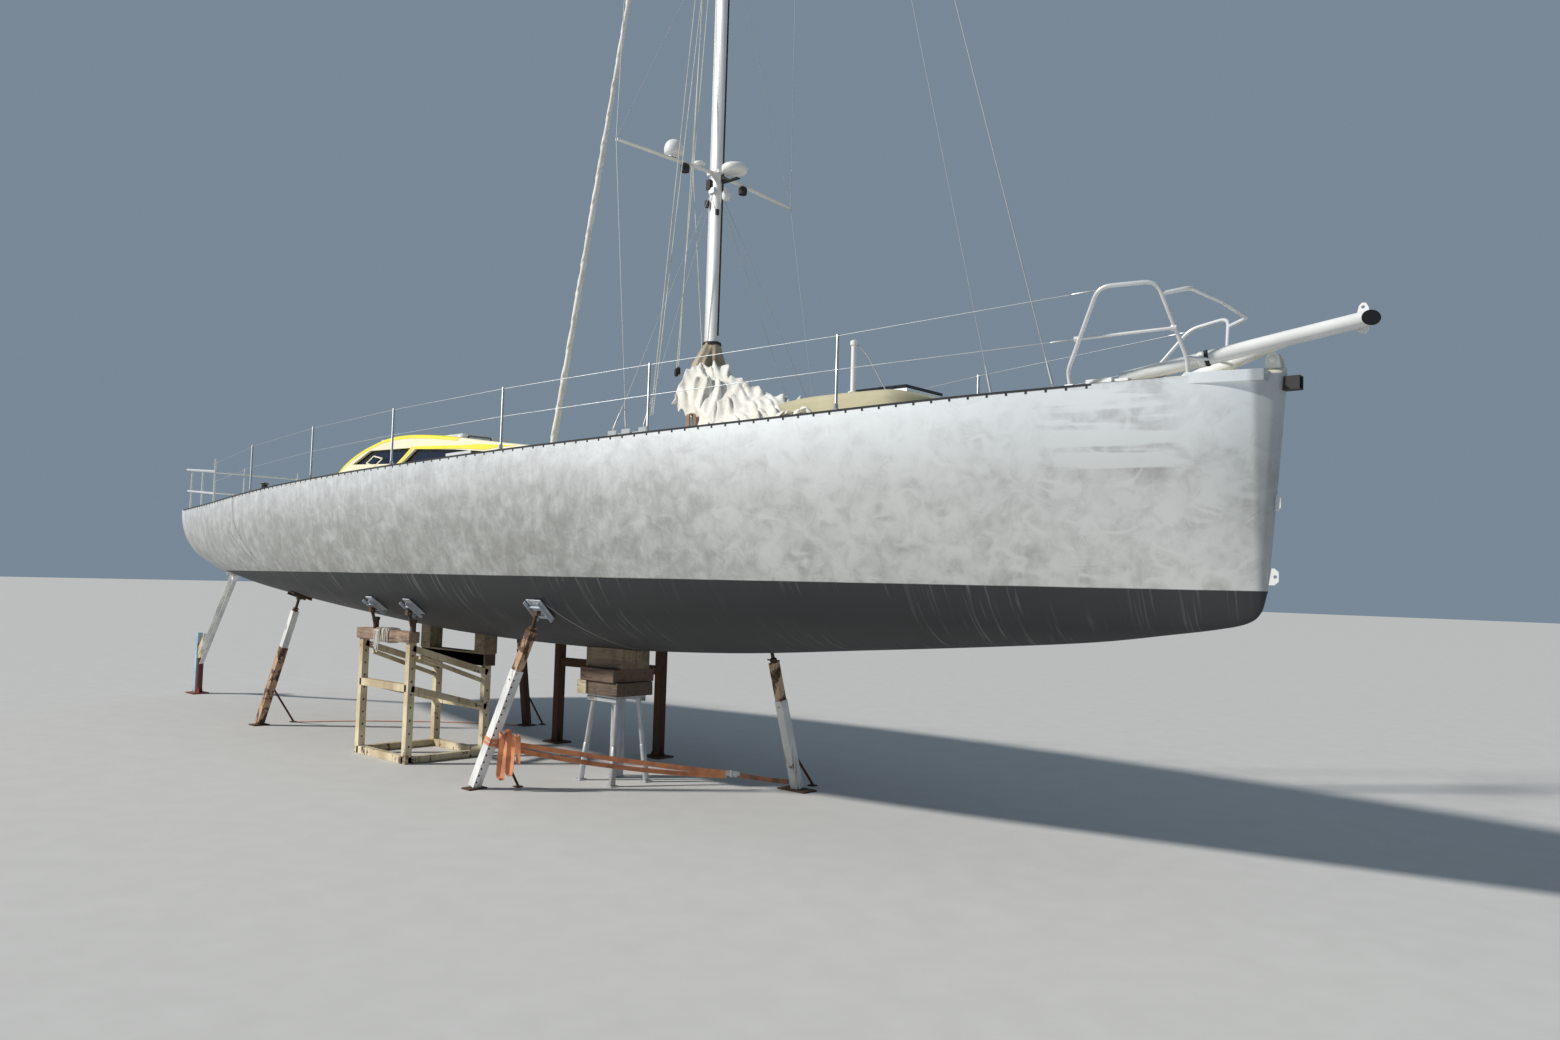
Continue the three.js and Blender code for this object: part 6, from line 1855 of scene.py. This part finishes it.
def rope_ring(corners, radius, sides=10):
    """A closed ring of rope through rounded corners."""
    path = rounded(corners, 0.035, 5, closed=True)
    return tube(path + [path[0]], radius, sides)


rng = random.Random(8)
rope_turns = []
SIDE_OUT = 0.082
for k in range(9):
    aft = 9.62 + 0.034 * k + rng.uniform(-0.01, 0.01)
    skew = rng.uniform(-0.05, 0.05)
    low = NEAR_TOP - 0.012 - rng.uniform(0, 0.01)
    top = NEAR_TOP + 0.142 + rng.uniform(0, 0.012)
    rope_turns.append(rope_ring([at(aft, NEAR - SIDE_OUT, low), at(aft + skew, NEAR - SIDE_OUT, top),
                                 at(aft + skew, NEAR + SIDE_OUT, top), at(aft, NEAR + SIDE_OUT, low)], 0.0065))
for k in range(3):
    top, low = NEAR_TOP + 0.12, NEAR_TOP - rng.uniform(0.06, 0.14)
    aft = 9.80 + 0.03 * k
    rope_turns.append(rope_ring([at(aft, NEAR - 0.094, top), at(aft + 0.02, NEAR - 0.098, low),
                                 at(aft + 0.06, NEAR - 0.100, low), at(aft + 0.05, NEAR - 0.094, top)], 0.006))
piece("timber_rope_turns", rope_turns, rope_white, crease=60)
coil = []
for k in range(7):
    aft, y = 5.34 + 0.013 * k, -0.66 + 0.006 * k
    base = deck_top(aft, y) + 0.01
    coil.append(rope_ring([at(aft - 0.05, y, base), at(aft - 0.04, y - 0.02, base + 0.19),
                           at(aft + 0.05, y - 0.02, base + 0.20), at(aft + 0.06, y, base + 0.004)], 0.008))
piece("brown_rope_turns", coil, rope_brown, crease=60)
BLOCKS = [(5.886, -0.420, 4.405), (5.922, -0.360, 4.431)]
HALYARDS = [[(5.900, -0.062, 10.1), (5.248, -1.285, 3.790)], [(5.900, -0.062, 11.3), (5.300, -1.262, 3.795)],
            [(5.895, -0.062, 9.7), BLOCKS[0], (5.800, -0.066, 4.150)],
            [(5.880, -0.064, 12.6), BLOCKS[1], (5.790, -0.066, 4.190)],
            [(5.890, -0.062, 14.4), (5.870, -0.300, 6.641), (5.830, -0.066, 4.300)]]
piece("halyards", [tube([at(*spot) for spot in halyard], 0.0045, 8) for halyard in HALYARDS],
      rope_white)
piece("halyard_blocks", [collar(at(*spot), UP, -0.045, 0.090, 0.015, 0.010, 0.022, 12) for spot in BLOCKS],
      dark_fitting)

# %% [markdown]
# The solids that stay keep their own shape and get a finish: the companionway runners, the
# sliding lid, the winches, the rudder head and the tiller. A winch gets a raised plinth on the
# deck, and a ring of teeth on top that turns with its drum.

# %% Companionway, winches and tiller
varnish = timber("varnished_tiller", tone(0.36, 0.16, 0.065), tone(0.24, 0.10, 0.040), along=(1.0, 16, 16))
dress(bare_metal, "companionway_rails", "rudder_head", bevel=0.003)
dress(cream, "companionway_slide", bevel=0.004)
dress(varnish, "tiller", bevel=0.008)
dress(wire_steel, "winch_base_1", "winch_base_2")
dress(dark_fitting, "winch_drum_1", "winch_drum_2")
WINCH, WINCH_Y = 13.75, 1.25
winch_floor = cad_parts["winch_base_1"].bound_box[0][2]
for side, word in SIDES:
    low = deck_top(WINCH, WINCH_Y + 0.10) - 0.02
    plinth = [[0.0005, low], [0.120, low], [0.112, winch_floor - 0.010], [0.104, winch_floor], [0.0005, winch_floor]]
    piece("winch_plinth_" + word, [turned(plinth, at(WINCH, side * WINCH_Y, 0), 36)], deck_cream)
    crown_middle = at(WINCH, side * WINCH_Y, winch_floor + 0.134)
    teeth = []
    for a in turns_of(16):
        out, round_way = Vector((cos(a), sin(a), 0)), Vector((-sin(a), cos(a), 0))
        teeth.append(block(crown_middle + out * 0.050, (0.012, 0.005, 0.008), (out, round_way, UP)))
    piece("winch_jaw_" + word, teeth, wire_steel, body="drum_" + word, bevel=0.001)

# %% [markdown]
# On the far side two rusty posts on foot plates with webs stand close under the bilge, joined by
# a bar, and finished as the oldest steel in the yard.

# %% Far posts
far_shapes = []
for aft, y in ((9.60, 1.04), (7.83, 1.27)):
    head = under(aft, y)[0] - 0.012
    far_shapes.append(slab(aft - 0.055, aft + 0.055, y - 0.055, y + 0.055, 0.02, head))
    far_shapes.append(slab(aft - 0.15, aft + 0.15, y - 0.13, y + 0.13, 0, 0.02))
    for k in (-1, 1):
        web = [(aft + k * 0.055, 0.02), (aft + k * 0.14, 0.02), (aft + k * 0.055, 0.16)]
        far_shapes.append(prism(web, y - 0.005, y + 0.005))
far_shapes.append(beam(at(9.60, 1.04, 1.08), at(7.83, 1.27, 1.08), 0.090, 0.110, (0, 0, 1)))
piece("rusty_posts", far_shapes, rust_steel, "far_posts", bevel=0.005)
